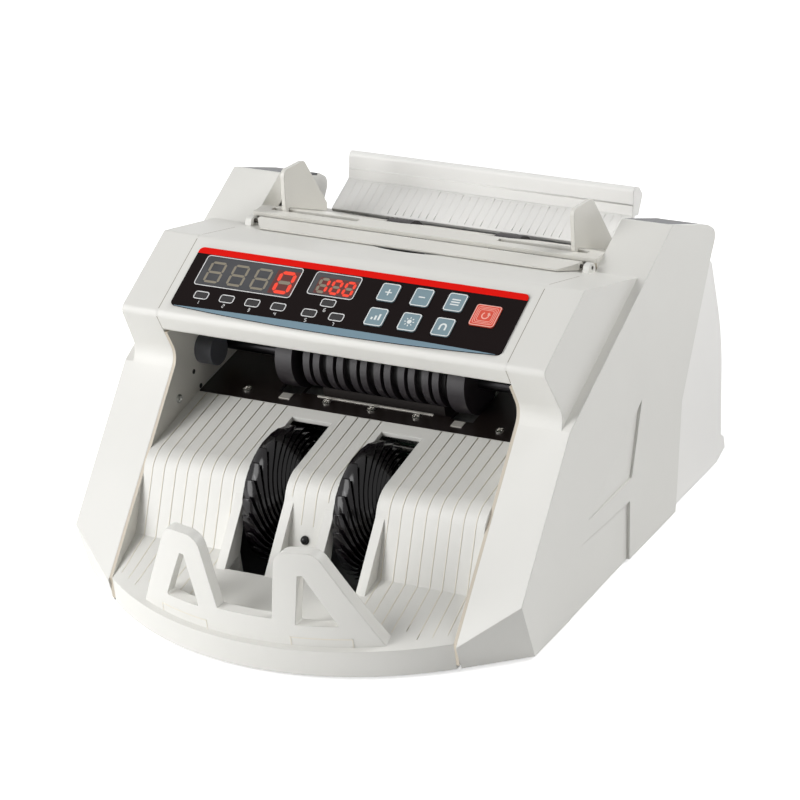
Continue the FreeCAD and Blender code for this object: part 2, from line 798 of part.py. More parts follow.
def window_places():
    yield MAIN_WINDOW_X, MAIN_WINDOW_DOWN, MAIN_WINDOW_WIDTH, MAIN_WINDOW_HEIGHT
    yield BATCH_WINDOW_X, BATCH_WINDOW_DOWN, BATCH_WINDOW_WIDTH, BATCH_WINDOW_HEIGHT


def panel_holes():
    """Holes through the nose's front wall for key stems, displays and lamps."""
    holes = []
    pocket = 2 * KEY_TRAVEL
    for _, x, down, width, height in key_places():
        wide, high = width + 2 * KEY_CLEARANCE, height + 2 * KEY_CLEARANCE
        stem = STEM_SIZE + 2 * KEY_CLEARANCE
        holes.append(tablet(x, down, wide, high, -pocket, 1, KEY_ROUND))
        holes.append(tablet(x, down, stem, stem, -2 * CASE_WALL, 1))
    for x, down, width, height in window_places():
        holes.append(tablet(x, down, width - 2 * WINDOW_SEAT, height - 2 * WINDOW_SEAT, -2 * CASE_WALL, 1))
    for x, down in lamp_places():
        holes.append(post(x, -down, LAMP_RADIUS + KEY_CLEARANCE, -2 * CASE_WALL, 1))
    return on_panel(Part.makeCompound(holes))


def board_corners():
    right = OVERLAY_WIDTH / 2 - BOARD_MARGIN
    top, bottom = -OVERLAY_TOP - 1, -OVERLAY_BOTTOM + 1
    return [(x, t) for x in (-right, right) for t in (top, bottom)]


def board_posts():
    posts = [post(x, t, POST_RADIUS, -BOARD_DEPTH, -CASE_WALL / 2) for x, t in board_corners()]
    return on_panel(Part.makeCompound(posts))


def lid_ear():
    """Ear beside the lid's end that holds one hinge pin."""
    reach = LID_BARREL + EAR_HEIGHT
    ear = slab([
        (LID_AXIS_Y - reach, nose_top(LID_AXIS_Y - reach) - CASE_WALL / 2),
        (LID_AXIS_Y - LID_BARREL, LID_AXIS_Z + LID_BARREL, LID_BARREL),
        (HOUSING_END_Y, LID_AXIS_Z + LID_BARREL, LID_BARREL),
        (HOUSING_END_Y, nose_top(HOUSING_END_Y) - CASE_WALL / 2),
    ], INNER - EAR_WIDTH, INNER)
    return ear.cut(rod(LID_AXIS_Y, LID_AXIS_Z, LID_PIN_RADIUS + RUN_FIT, 0, FAR))


def finger_scoop():
    """Crescent in front of the lid's edge where a finger lifts it."""
    radius = (SCOOP_WIDTH ** 2 / 4 + SCOOP_DEPTH ** 2) / (2 * SCOOP_DEPTH)
    disc = post(0, LID_FRONT_Y - SCOOP_DEPTH + radius, radius, 0, FAR)
    front = LID_FRONT_Y - 2 * SCOOP_DEPTH
    back = LID_FRONT_Y + SCOOP_DEPTH
    floor = [(y, nose_top(y) - SCOOP_SINK) for y in (front, back)]
    sunk = floor + [(back, FAR), (front, FAR)]
    return disc.common(slab(sunk, -SCOOP_WIDTH, SCOOP_WIDTH))


def display_housing():
    """Bent nose moulding with its cut-outs, board posts and lid ears."""
    shell = strip(housing_path(), CASE_WALL, -INNER, INNER)
    shell = shell.fuse([board_posts(), lid_ear(), mirrored(lid_ear())])
    hatch_half = LID_HALF - 2 * LID_END_SLANT
    front = LID_FRONT_Y + SCOOP_DEPTH
    hatch = box(-hatch_half, hatch_half, front, LID_AXIS_Y, 0, FAR)
    low = nose_top(HOUSING_END_Y) - 2 * CASE_WALL
    hatch = hatch.common(box(-FAR, FAR, -FAR, FAR, low, FAR))
    return shell.cut(panel_holes()).cut(finger_scoop()).cut(hatch)


def overlay_blank():
    """Panel film: a rounded rectangle whose lower edge bows downwards."""
    height = OVERLAY_BOTTOM - OVERLAY_TOP
    middle = (OVERLAY_BOTTOM + OVERLAY_TOP) / 2
    film = tablet(0, middle, OVERLAY_WIDTH, height, 0, OVERLAY_THICKNESS, OVERLAY_ROUND)
    chord = OVERLAY_WIDTH - 2 * OVERLAY_ROUND
    radius = (chord ** 2 / 4 + OVERLAY_BOW ** 2) / (2 * OVERLAY_BOW)
    disc = post(0, -OVERLAY_BOTTOM - OVERLAY_BOW + radius, radius, 0, OVERLAY_THICKNESS)
    bow = tablet(0, OVERLAY_BOTTOM, chord, 2 * OVERLAY_BOW, 0, OVERLAY_THICKNESS)
    return film.fuse(disc.common(bow)).removeSplitter()


def windows():
    panes = []
    for x, down, width, height in window_places():
        panes.append(tablet(x, down, width, height, 0, OVERLAY_THICKNESS, WINDOW_ROUND))
    return panes


def lamp_panes():
    panes = []
    for x, down in lamp_places():
        panes.append(tablet(x, down, LAMP_WIDTH, LAMP_HEIGHT, 0, OVERLAY_THICKNESS, WINDOW_ROUND))
    return panes


def panel_overlay():
    film = overlay_blank()
    for _, x, down, width, height in key_places():
        wide, high = width + 2 * KEY_CLEARANCE, height + 2 * KEY_CLEARANCE
        film = film.cut(tablet(x, down, wide, high, -1, OVERLAY_THICKNESS + 1, KEY_ROUND))
    return on_panel(film.cut(windows() + lamp_panes()))


def key(x, down, width, height):
    """Key cap with the stem that reaches back to its switch."""
    cap = tablet(x, down, width, height, 0, OVERLAY_THICKNESS + KEY_RISE, KEY_ROUND)
    foot = BOARD_DEPTH - SWITCH_BUTTON - KEY_TRAVEL - KEY_CLEARANCE
    return on_panel(cap.fuse(tablet(x, down, STEM_SIZE, STEM_SIZE, -foot, 0)))


def display_board():
    """Circuit board behind the panel, with its key switches and lamps."""
    right = OVERLAY_WIDTH / 2
    height = OVERLAY_BOTTOM - OVERLAY_TOP + 4
    middle = (OVERLAY_BOTTOM + OVERLAY_TOP) / 2
    parts = [tablet(x, down, STEM_SIZE, STEM_SIZE, -BOARD_DEPTH, SWITCH_BUTTON - BOARD_DEPTH)
             for _, x, down, _, _ in key_places()]
    parts += [post(x, -down, LAMP_RADIUS, -BOARD_DEPTH, -KEY_CLEARANCE) for x, down in lamp_places()]
    board = tablet(0, middle, 2 * right - BOARD_MARGIN, height, -BOARD_DEPTH - BOARD_THICKNESS, -BOARD_DEPTH)
    return on_panel(board.fuse(parts))


def display_module(x, down, width, height):
    """Seven-segment block standing on the board behind its window."""
    inset = 2 * (WINDOW_SEAT + KEY_CLEARANCE)
    return on_panel(tablet(x, down, width - inset, height - inset, -BOARD_DEPTH, -KEY_CLEARANCE))


# Stacker tray

def tray_arc(radius, z):
    end = TRAY_CENTRE_Y - math.sqrt(radius ** 2 - PLATE_IN ** 2)
    apex = Vec(0, TRAY_CENTRE_Y - radius, z)
    return Part.Arc(Vec(-PLATE_IN, end, z), apex, Vec(PLATE_IN, end, z)).toShape()


def tray_plan(radius, back, z0, z1):
    """Block with the tray's plan: a round front and a straight back."""
    arc = tray_arc(radius, z0)
    first, last = arc.Vertexes[0].Point, arc.Vertexes[-1].Point
    corners = [last, Vec(PLATE_IN, back, z0), Vec(-PLATE_IN, back, z0), first]
    sides = [Part.makeLine(a, b) for a, b in zip(corners, corners[1:])]
    return Part.Face(Part.Wire([arc] + sides)).extrude(Vec(0, 0, z1 - z0))


def floor_face(drop):
    """Ruled floor between the round lip and the straight foot of the hump."""
    z = FLOOR_CORNER_Z - drop
    foot = Part.makeLine(Vec(-PLATE_IN, FLOOR_CORNER_Y, z), Vec(PLATE_IN, FLOOR_CORNER_Y, z))
    return Part.makeRuledSurface(tray_arc(TRAY_RADIUS, TRAY_LIP_Z - drop), foot)


def tray_floor():
    """Floor with its upright lip, hollow underneath."""
    wall_back = FLOOR_CORNER_Y + TRAY_WALL
    block = tray_plan(TRAY_RADIUS, wall_back, FOOT_HEIGHT, FLOOR_CORNER_Z)
    block = block.cut(floor_face(0).extrude(Vec(0, 0, FAR)))
    hollow = floor_face(TRAY_WALL).extrude(Vec(0, 0, -FAR))
    hollow = hollow.common(tray_plan(TRAY_RADIUS - TRAY_WALL, FLOOR_CORNER_Y, -FAR, FAR))
    return block.cut(hollow).cut(base_blank())


def hump():
    path = [
        (HUMP_REAR_Y, HUMP_REAR_Z),
        (hump_face(HUMP_CORNER_Z), HUMP_CORNER_Z, HUMP_ROUND),
        (FLOOR_CORNER_Y, FLOOR_CORNER_Z),
    ]
    return strip(path, TRAY_WALL, -PLATE_IN, PLATE_IN)


def fins():
    """Wedges on both sides of each wheel slot, from the hump's face down to the floor."""
    profile = [
        (hump_face(FIN_TOP_Z), FIN_TOP_Z),
        (FIN_FRONT_Y, FLOOR_CORNER_Z - TRAY_WALL - rise(FLOOR_CORNER_Y - FIN_FRONT_Y, HUMP_TOP_ANGLE)),
        (hump_face(FLOOR_CORNER_Z) + TRAY_WALL / 2, FLOOR_CORNER_Z - TRAY_WALL / 2),
    ]
    near, far = WHEEL_X - SLOT_HALF, WHEEL_X + SLOT_HALF
    pair = [slab(profile, near - FIN_WIDTH, near), slab(profile, far, far + FIN_WIDTH)]
    return pair + [mirrored(f) for f in pair]


def stop_shape():
    """One leaning stop in front view, with the opening between its legs."""
    legs = [
        (STOP_INNER_FOOT, FENCE_FOOT_Z),
        (STOP_INNER_TOP, STOP_TOP_Z, STOP_ROUND),
        (STOP_OUTER_TOP, STOP_TOP_Z, STOP_ROUND),
        (STOP_OUTER_FOOT, FENCE_FOOT_Z),
    ]
    blank = front_slab(legs, TRAY_FRONT_Y - 1, FLOOR_CORNER_Y)
    height = STOP_TOP_Z - FENCE_FOOT_Z
    inner = (STOP_INNER_TOP - STOP_INNER_FOOT) / height
    outer = (STOP_OUTER_FOOT - STOP_OUTER_TOP) / height
    bar = STOP_BAR_Z - FENCE_FOOT_Z
    top = STOP_TOP_Z - STOP_LEG
    left_foot = STOP_INNER_FOOT + inner * bar + STOP_LEG
    left_top = STOP_INNER_TOP - inner * STOP_LEG + STOP_LEG
    right_foot = STOP_OUTER_FOOT - outer * bar - STOP_LEG * math.hypot(1, outer)
    right_top = STOP_OUTER_TOP + outer * STOP_LEG - STOP_LEG * math.hypot(1, outer)
    hole = [
        (left_foot, STOP_BAR_Z, STOP_HOLE_ROUND), (left_top, top),
        (right_top, top), (right_foot, STOP_BAR_Z, STOP_HOLE_ROUND),
    ]
    return blank.cut(front_slab(hole, TRAY_FRONT_Y - 2, FLOOR_CORNER_Y + 1))


def fence():
    """Curved front fence: two stops with a low wall between them."""
    outer = TRAY_RADIUS - FENCE_INSET
    ring = post(0, TRAY_CENTRE_Y, outer, FENCE_FOOT_Z, STOP_TOP_Z)
    ring = ring.cut(post(0, TRAY_CENTRE_Y, outer - FENCE_THICKNESS, FENCE_FOOT_Z, STOP_TOP_Z))
    low = box(-STOP_INNER_TOP, STOP_INNER_TOP, TRAY_FRONT_Y, FLOOR_CORNER_Y, FENCE_FOOT_Z, LOW_WALL_Z)
    stop = stop_shape()
    return ring.common(stop.fuse([mirrored(stop), low]))


def sensor_seat():
    """Axis of the small sensor in the hump's face."""
    lean = math.radians(HUMP_LEAN_ANGLE)
    return Vec(0, hump_face(SENSOR_Z), SENSOR_Z), Vec(0, -math.cos(lean), math.sin(lean))


def stacker_tray():
    tray = tray_floor().fuse([hump(), fence()] + fins())
    slot = box(WHEEL_X - SLOT_HALF, WHEEL_X + SLOT_HALF, SLOT_FRONT_Y, SLOT_REAR_Y, 0, FAR)
    spot, way = sensor_seat()
    hole = Part.makeCylinder(SENSOR_RADIUS, 2 * TRAY_WALL, spot + way * TRAY_WALL / 2, way * -1)
    return tray.cut([slot, mirrored(slot), hole]).removeSplitter()


def stacker_sensor():
    """Domed lens of the stacker sensor with its barrel through the hump."""
    spot, way = sensor_seat()
    barrel = Part.makeCylinder(SENSOR_RADIUS, 2 * TRAY_WALL, spot, way * -1)
    dome = Part.makeSphere(SENSOR_RADIUS, spot)
    return barrel.fuse(dome).removeSplitter()


# Chassis

def base_blank():
    return box(-INNER, INNER, BASE_FRONT_Y, REAR_HEEL_Y, FOOT_HEIGHT, BASE_TOP)


def plate_points():
    """Side-view outline of a chassis plate: column, notch, nose floor, hopper and back."""
    under = offset_path(deck_path(), -HOPPER_SHEET)
    top = LIP_Z - 1
    toe = [(TRAY_END_Y, BASE_TOP), (TRAY_END_Y, COLUMN_FOOT_Z - (COLUMN_FOOT_Y - TRAY_END_Y))]
    front = [(column(NOTCH_Z), NOTCH_Z, NOTCH_ROUND), (nose_front(top), top), (DECK_REAR_Y, top)]
    hopper = [(HOPPER_FRONT_Y, nose_top(HOPPER_FRONT_Y) - 2 * CASE_WALL)] + under
    back = [
        (REAR_TOP_Y - PLATE_REAR_GAP, REAR_TOP_Z - PLATE_REAR_GAP),
        (REAR_HIP_Y - PLATE_REAR_GAP, REAR_HIP_Z),
        (REAR_HEEL_Y - PLATE_REAR_GAP, BASE_TOP),
    ]
    return toe + front + hopper + back


def shaft_places():
    """Axis and radius of every shaft that turns in the chassis plates."""
    yield IMPELLER_Y, IMPELLER_Z, IMPELLER_SHAFT_RADIUS
    yield FEED_Y, FEED_Z, FEED_SHAFT_RADIUS
    yield PICKUP_Y, PICKUP_Z, PICKUP_SHAFT_RADIUS


def chassis_plate():
    plate = slab(plate_points(), PLATE_IN, INNER)
    for y, z, _ in shaft_places():
        plate = plate.cut(rod(y, z, BUSH_RADIUS, 0, FAR))
    return plate


def left_chassis_plate():
    """Left plate, which also carries the two motors."""
    holes = [rod(y, z, BUSH_RADIUS, -FAR, 0) for y, z, _ in motor_places()]
    return mirrored(chassis_plate()).cut(holes)


def base_plate():
    """Floor pan with the posts that carry the main board."""
    top = BASE_TOP + SPACER_HEIGHT
    return base_blank().fuse([post(x, y, POST_RADIUS, BASE_TOP, top) for x, y in main_board_corners()])


def feet():
    places = [(x, y) for x in (-FOOT_X, FOOT_X) for y in (FRONT_FOOT_Y, REAR_FOOT_Y)]
    return Part.makeCompound([post(x, y, FOOT_RADIUS, 0, FOOT_HEIGHT) for x, y in places])


def cross_rods():
    """Tie rods between the chassis plates and the rail that the note guides slide on."""
    rods = [rod(y, z, TIE_RADIUS, -PLATE_IN, PLATE_IN) for y, z in TIE_PLACES]
    rods.append(rod(GUIDE_SLOT_Y, GUIDE_RAIL_Z, GUIDE_RAIL_RADIUS, -PLATE_IN, PLATE_IN))
    return Part.makeCompound(rods)


def bushes(y, z, shaft_radius):
    """Two flanged bushes in the chassis plates."""
    bush = rod(y, z, BUSH_RADIUS, PLATE_IN, PLATE_IN + BUSH_LENGTH)
    bush = bush.fuse(rod(y, z, BUSH_FLANGE, PLATE_IN - 1, PLATE_IN))
    return both(bush.cut(rod(y, z, shaft_radius + RUN_FIT, 0, FAR)).removeSplitter())


# Impeller

def blade(turn):
    """One thin swept blade, thick at the hub and fine at the tip."""
    def spot(radius, angle):
        a = math.radians(angle)
        return Vec(0, radius * math.cos(a), radius * math.sin(a))

    middle_radius = (IMPELLER_HUB + 2 * IMPELLER_RADIUS) / 3
    root, tip = IMPELLER_HUB - 1, IMPELLER_RADIUS
    thick = (BLADE_ROOT_ANGLE, (BLADE_ROOT_ANGLE + BLADE_TIP_ANGLE) / 3, BLADE_TIP_ANGLE)
    places = ((root, 0), (middle_radius, BLADE_BOW * BLADE_SWEEP_ANGLE), (tip, BLADE_SWEEP_ANGLE))
    front = [spot(radius, turn + sweep) for radius, sweep in places]
    back = [spot(radius, turn + sweep + width) for (radius, sweep), width in zip(places, thick)]
    edges = [
        Part.Arc(*front).toShape(),
        Part.makeLine(front[2], back[2]),
        Part.Arc(*back[::-1]).toShape(),
        Part.makeLine(back[0], front[0]),
    ]
    return Part.Face(Part.Wire(edges)).extrude(Vec(IMPELLER_WIDTH, 0, 0))


def impeller_wheel(x):
    """Hub with a ring of swept blades whose tips fall off to the right."""
    hub = rod(0, 0, IMPELLER_HUB, 0, IMPELLER_WIDTH)
    wheel = hub.fuse([blade(360.0 * i / BLADES) for i in range(BLADES)])
    small = IMPELLER_RADIUS - IMPELLER_TAPER
    cone = Part.makeCone(IMPELLER_RADIUS, small, IMPELLER_WIDTH, Vec(0, 0, 0), Vec(1, 0, 0))
    wheel = wheel.common(cone).cut(rod(0, 0, IMPELLER_SHAFT_RADIUS, -1, FAR))
    wheel.translate(Vec(x - IMPELLER_WIDTH / 2, IMPELLER_Y, IMPELLER_Z))
    return wheel


# Feed and pickup rollers

def feed_core():
    half = FEED_RING_PITCH * FEED_RING_PAIRS / 2
    core = rod(FEED_Y, FEED_Z, FEED_CORE_RADIUS, -half, half)
    return core.cut(rod(FEED_Y, FEED_Z, FEED_SHAFT_RADIUS, -FAR, FAR))


def feed_rings():
    """Pairs of rubber rings round the core."""
    rings = []
    for i in range(FEED_RING_PAIRS):
        middle = (i - (FEED_RING_PAIRS - 1) / 2) * FEED_RING_PITCH
        for side in (-1, 1):
            x = middle + side * FEED_RING_GAP / 2
            ring = rod(FEED_Y, FEED_Z, FEED_RING_RADIUS, x - FEED_RING_WIDTH / 2, x + FEED_RING_WIDTH / 2)
            rings.append(ring.cut(rod(FEED_Y, FEED_Z, FEED_CORE_RADIUS, -FAR, FAR)))
    return Part.makeCompound(rings)


def feed_wheels():
    near, far = FEED_WHEEL_X - FEED_WHEEL_WIDTH / 2, FEED_WHEEL_X + FEED_WHEEL_WIDTH / 2
    wheel = rod(FEED_Y, FEED_Z, FEED_WHEEL_RADIUS, near, far)
    return both(wheel.cut(rod(FEED_Y, FEED_Z, FEED_SHAFT_RADIUS, 0, FAR)))


def pickup_rollers():
    near, far = PICKUP_ROLLER_X - PICKUP_ROLLER_WIDTH / 2, PICKUP_ROLLER_X + PICKUP_ROLLER_WIDTH / 2
    roller = rod(PICKUP_Y, PICKUP_Z, PICKUP_ROLLER_RADIUS, near, far)
    return both(roller.cut(rod(PICKUP_Y, PICKUP_Z, PICKUP_SHAFT_RADIUS, 0, FAR)))


def encoder_disc():
    """Slotted disc on the feed shaft that times the notes."""
    disc = rod(FEED_Y, FEED_Z, ENCODER_RADIUS, SHAFT_END, SHAFT_END + ENCODER_THICKNESS)
    slots = []
    high = ENCODER_RADIUS - ENCODER_RIM
    low = high - ENCODER_SLOT_LENGTH
    half = ENCODER_SLOT_WIDTH / 2
    for i in range(ENCODER_SLOTS):
        slot = box(SHAFT_END - 1, SHAFT_END + 2 * ENCODER_THICKNESS, -half, half, low, high)
        slot.rotate(Vec(0, 0, 0), Vec(1, 0, 0), 360.0 * i / ENCODER_SLOTS)
        slot.translate(Vec(0, FEED_Y, FEED_Z))
        slots.append(slot)
    return disc.cut(slots).cut(rod(FEED_Y, FEED_Z, FEED_SHAFT_RADIUS, 0, FAR))


# Note path under the nose

def deck_z(y):
    return HUMP_REAR_Z + rise(y - HUMP_REAR_Y, DECK_ANGLE)


def guide_plate():
    """Black plate behind the hump, with openings for the feed rollers."""
    front = HUMP_REAR_Y + DECK_FRONT_GAP
    path = [(front, deck_z(front)), (DECK_REAR_Y, deck_z(DECK_REAR_Y))]
    plate = strip(path, -DECK_THICKNESS, -PLATE_IN, PLATE_IN)
    reach = FEED_WHEEL_RADIUS - ROLLER_GAP
    half = FEED_RING_PITCH * FEED_RING_PAIRS / 2 + ROLLER_GAP
    middle = box(-half, half, FEED_Y - reach + ROLLER_GAP, FEED_Y + reach, 0, FAR)
    near = FEED_WHEEL_X - FEED_WHEEL_WIDTH / 2 - ROLLER_GAP
    side = box(near, near + FEED_WHEEL_WIDTH + 2 * ROLLER_GAP, FEED_Y - reach, FEED_Y + reach, 0, FAR)
    return plate.cut([middle, side, mirrored(side)])


def spring_tabs():
    """Bright leaf tabs on the plate in front of the outer feed wheels."""
    y = FEED_Y - FEED_WHEEL_RADIUS + ROLLER_GAP - TAB_SETBACK
    path = [(y - TAB_LENGTH, deck_z(y - TAB_LENGTH)), (y, deck_z(y))]
    return both(strip(path, TAB_THICKNESS, FEED_WHEEL_X - TAB_WIDTH / 2, FEED_WHEEL_X + TAB_WIDTH / 2))


def separator_bracket():
    half = PAD_LENGTH / 2 + BRACKET_MARGIN
    return box(-PLATE_IN, PLATE_IN, FEED_Y - half, FEED_Y + half, BRACKET_Z, BRACKET_TOP)


def separator_pad():
    """Friction pad under the ring roller, hollowed to the rings' curve."""
    top = FEED_Z - FEED_RING_RADIUS + PAD_WRAP
    front, back = FEED_Y - PAD_LENGTH / 2, FEED_Y + PAD_LENGTH / 2
    pad = box(-PAD_HALF_WIDTH, PAD_HALF_WIDTH, front, back, BRACKET_TOP, top)
    return pad.cut(rod(FEED_Y, FEED_Z, FEED_RING_RADIUS + PAD_GAP, -FAR, FAR))


def side_sensors():
    near = PLATE_IN - SIDE_SENSOR_LENGTH
    return both(rod(SIDE_SENSOR_Y, SIDE_SENSOR_Z, SIDE_SENSOR_RADIUS, near, PLATE_IN))


# Hopper

def deck_path():
    return [(HOPPER_FRONT_Y, HOPPER_FRONT_Z), (HOPPER_BEND_Y, HOPPER_BEND_Z), (HOPPER_LOW_Y, HOPPER_LOW_Z)]


def hopper_deck():
    """Bent floor of the hopper with slots for the guides and the pickup rollers."""
    deck = strip(deck_path(), -HOPPER_SHEET, -INNER, INNER)
    front, back = GUIDE_SLOT_Y - GUIDE_SLOT_HALF, GUIDE_SLOT_Y + GUIDE_SLOT_HALF
    slot = box(GUIDE_X - GUIDE_SLOT_INWARD, GUIDE_X + GUIDE_SLOT_OUTWARD, front, back, 0, FAR)
    half = PICKUP_ROLLER_WIDTH / 2 + ROLLER_GAP
    reach = PICKUP_ROLLER_RADIUS
    gap = box(PICKUP_ROLLER_X - half, PICKUP_ROLLER_X + half, PICKUP_Y - reach, FAR, 0, FAR)
    return deck.cut([slot, mirrored(slot), gap, mirrored(gap)])


def ridge_points():
    """Side-view outline of the rolled ridge."""
    depth = RIDGE_REAR_Y - RIDGE_Y
    spots = [(RIDGE_Y + a * depth, RIDGE_Z + b * RIDGE_HEIGHT) for a, b in RIDGE_PROFILE]
    rounds = (0.0, RIDGE_ROUND, RIDGE_ROUND, RIDGE_HEEL_ROUND)
    rolled = [(y, z, radius) for (y, z), radius in zip(spots, rounds)]
    return [(RIDGE_Y, RIDGE_Z)] + rolled + [(RIDGE_Y + RIDGE_UNDERCUT * depth, RIDGE_Z - HOPPER_SHEET)]


def hopper_back_plate():
    """Rising back plate that ends in a rolled ridge, with an apron down to the rear cover."""
    half = BACK_PLATE_HALF
    start = Vec(0, BACK_PLATE_FRONT_Y, BACK_PLATE_FRONT_Z)
    ridge_foot = Vec(0, RIDGE_Y, RIDGE_Z)
    buried = ridge_foot + (ridge_foot - start).normalize() * HOPPER_SHEET
    plate = strip([(start.y, start.z), (buried.y, buried.z)], -HOPPER_SHEET, -half, half)
    ridge = slab(ridge_points(), -half, half)
    apron = box(-half, half, APRON_Y, APRON_Y + HOPPER_SHEET, REAR_COVER_TOP_Z, RIDGE_Z)
    rib = slab([
        (APRON_Y + HOPPER_SHEET / 2, REAR_COVER_TOP_Z + RIB_FOOT),
        (APRON_Y + HOPPER_SHEET / 2, RIDGE_Z - HOPPER_SHEET / 2),
        (BACK_PLATE_FRONT_Y + RIB_REACH, BACK_PLATE_FRONT_Z),
    ], RIB_X - RIB_WIDTH / 2, RIB_X + RIB_WIDTH / 2)
    return plate.fuse([ridge, apron, rib, mirrored(rib)]).removeSplitter()


def hopper_lid():
    """Wedge-shaped lid with slanted ends, turning on a barrel along its back edge."""
    front = LID_FRONT_Y
    wedge = [
        (front, nose_top(front) + LID_GAP),
        (front, LID_TOP_Z - LID_FRONT_DROP),
        (LID_AXIS_Y, LID_TOP_Z - LID_REAR_DROP),
        (LID_AXIS_Y, nose_top(LID_AXIS_Y) + LID_GAP),
    ]
    half = LID_HALF
    lid = slab(wedge, -half, half).fuse(rod(LID_AXIS_Y, LID_AXIS_Z, LID_BARREL, -half, half))
    corners = [(half - LID_END_SLANT, front), (half, front), (half, LID_AXIS_Y - LID_END_SQUARE)]
    slant = plan_slab(corners, 0, FAR)
    return lid.cut([slant, mirrored(slant), lid_pins()])


def lid_pins():
    near, far = LID_HALF - LID_PIN_LENGTH, INNER - LID_PIN_GAP
    return both(rod(LID_AXIS_Y, LID_AXIS_Z, LID_PIN_RADIUS, near, far))


def guide_outline():
    heel_y = GUIDE_TAIL_Y - GUIDE_TAIL_CUT
    heel_z = hopper_floor(heel_y) + GUIDE_LIFT
    return [
        (GUIDE_FRONT_Y, HOPPER_FRONT_Z + GUIDE_LIFT),
        (GUIDE_TOP_Y, GUIDE_TOP_Z, GUIDE_ROUND),
        (GUIDE_PEAK_Y, GUIDE_PEAK_Z, GUIDE_ROUND),
        (GUIDE_TAIL_Y, heel_z + GUIDE_TAIL_RISE, GUIDE_TAIL_ROUND),
        (heel_y, heel_z),
        (HOPPER_BEND_Y, HOPPER_BEND_Z + GUIDE_LIFT),
    ]


def note_guide():
    """Five-cornered ear with a foot through the hopper floor and a sliding block on the rail."""
    x0, x1 = GUIDE_X, GUIDE_X + GUIDE_THICKNESS
    ear = slab(guide_outline(), x0, x1)
    half = GUIDE_SLOT_HALF - GUIDE_FOOT_GAP
    top = HOPPER_FRONT_Z + GUIDE_FOOT_REACH
    foot = box(x0, x1, GUIDE_SLOT_Y - half, GUIDE_SLOT_Y + half, GUIDE_RAIL_Z, top)
    middle = (x0 + x1) / 2
    side = GUIDE_BLOCK / 2
    low, high = GUIDE_RAIL_Z - side, GUIDE_RAIL_Z + side
    block = box(middle - side, middle + side, GUIDE_SLOT_Y - side, GUIDE_SLOT_Y + side, low, high)
    return ear.fuse([foot, block]).cut(rod(GUIDE_SLOT_Y, GUIDE_RAIL_Z, GUIDE_RAIL_RADIUS + RUN_FIT, 0, FAR))


# Drive

def pulley(y, z, radius, bore, x0):
    """Flanged pulley, starting at x0 and running outwards."""
    wide = PULLEY_WIDTH + 2 * BELT_GAP
    body = rod(y, z, radius, x0, x0 + wide + 2 * FLANGE_THICKNESS)
    for x in (x0, x0 + wide + FLANGE_THICKNESS):
        body = body.fuse(rod(y, z, radius + FLANGE_RISE, x, x + FLANGE_THICKNESS))
    return body.cut(rod(y, z, bore, 0, FAR)).removeSplitter()


def loop_face(start, radius, end, end_radius):
    """Stadium round two circles of different size, with straight tangents."""
    way = end - start
    gap = way.Length
    tilt = math.acos((radius - end_radius) / gap)
    heading = math.atan2(way.z, way.y)

    def spot(centre, r, angle):
        return centre + Vec(0, r * math.cos(angle), r * math.sin(angle))

    high, low = heading + tilt, heading - tilt
    edges = [
        Part.Arc(*[spot(start, radius, a) for a in (high, heading + math.pi, low)]).toShape(),
        Part.makeLine(spot(start, radius, low), spot(end, end_radius, low)),
        Part.Arc(*[spot(end, end_radius, a) for a in (low, heading, high)]).toShape(),
        Part.makeLine(spot(end, end_radius, high), spot(start, radius, high)),
    ]
    return Part.Face(Part.Wire(edges))


def belt(start, radius, end, end_radius, x0):
    """Flat drive belt between two pulleys, clear of their rims."""
    a, b = Vec(x0, *start), Vec(x0, *end)
    inner = loop_face(a, radius + BELT_GAP, b, end_radius + BELT_GAP)
    over = BELT_GAP + BELT_THICKNESS
    outer = loop_face(a, radius + over, b, end_radius + over)
    return outer.cut(inner).extrude(Vec(PULLEY_WIDTH, 0, 0))


def shaft_reach(plane):
    """How far a shaft runs to carry a pulley that starts at a plane."""
    return plane + PULLEY_WIDTH + 2 * BELT_GAP + 2 * FLANGE_THICKNESS + PULLEY_GAP


def motor(y, z, radius):
    """Drive motor on the left plate, with a stepped end bell."""
    face = -PLATE_IN
    body = rod(y, z, radius, face, face + MOTOR_LENGTH)
    bell = rod(y, z, BELL_RADIUS, face + MOTOR_LENGTH, face + MOTOR_LENGTH + BELL_LENGTH)
    bore = rod(y, z, MOTOR_SHAFT_RADIUS + RUN_FIT, -FAR, face + MOTOR_SHAFT_LENGTH + MOTOR_BORE_GAP)
    return body.fuse(bell).cut(bore).removeSplitter()


def motor_places():
    yield FEED_MOTOR_Y, FEED_MOTOR_Z, FEED_MOTOR_RADIUS
    yield STACK_MOTOR_Y, STACK_MOTOR_Z, STACK_MOTOR_RADIUS


def motor_pulley(y, z, radius):
    """Driving pulley in one piece with its motor's shaft."""
    spindle = rod(y, z, MOTOR_SHAFT_RADIUS, PLATE_IN - MOTOR_SHAFT_LENGTH, shaft_reach(BELT_PLANE))
    rim = pulley(y, z, radius, MOTOR_SHAFT_RADIUS, BELT_PLANE)
    return mirrored(spindle.fuse(rim).removeSplitter())


# Rear cover and mains fittings

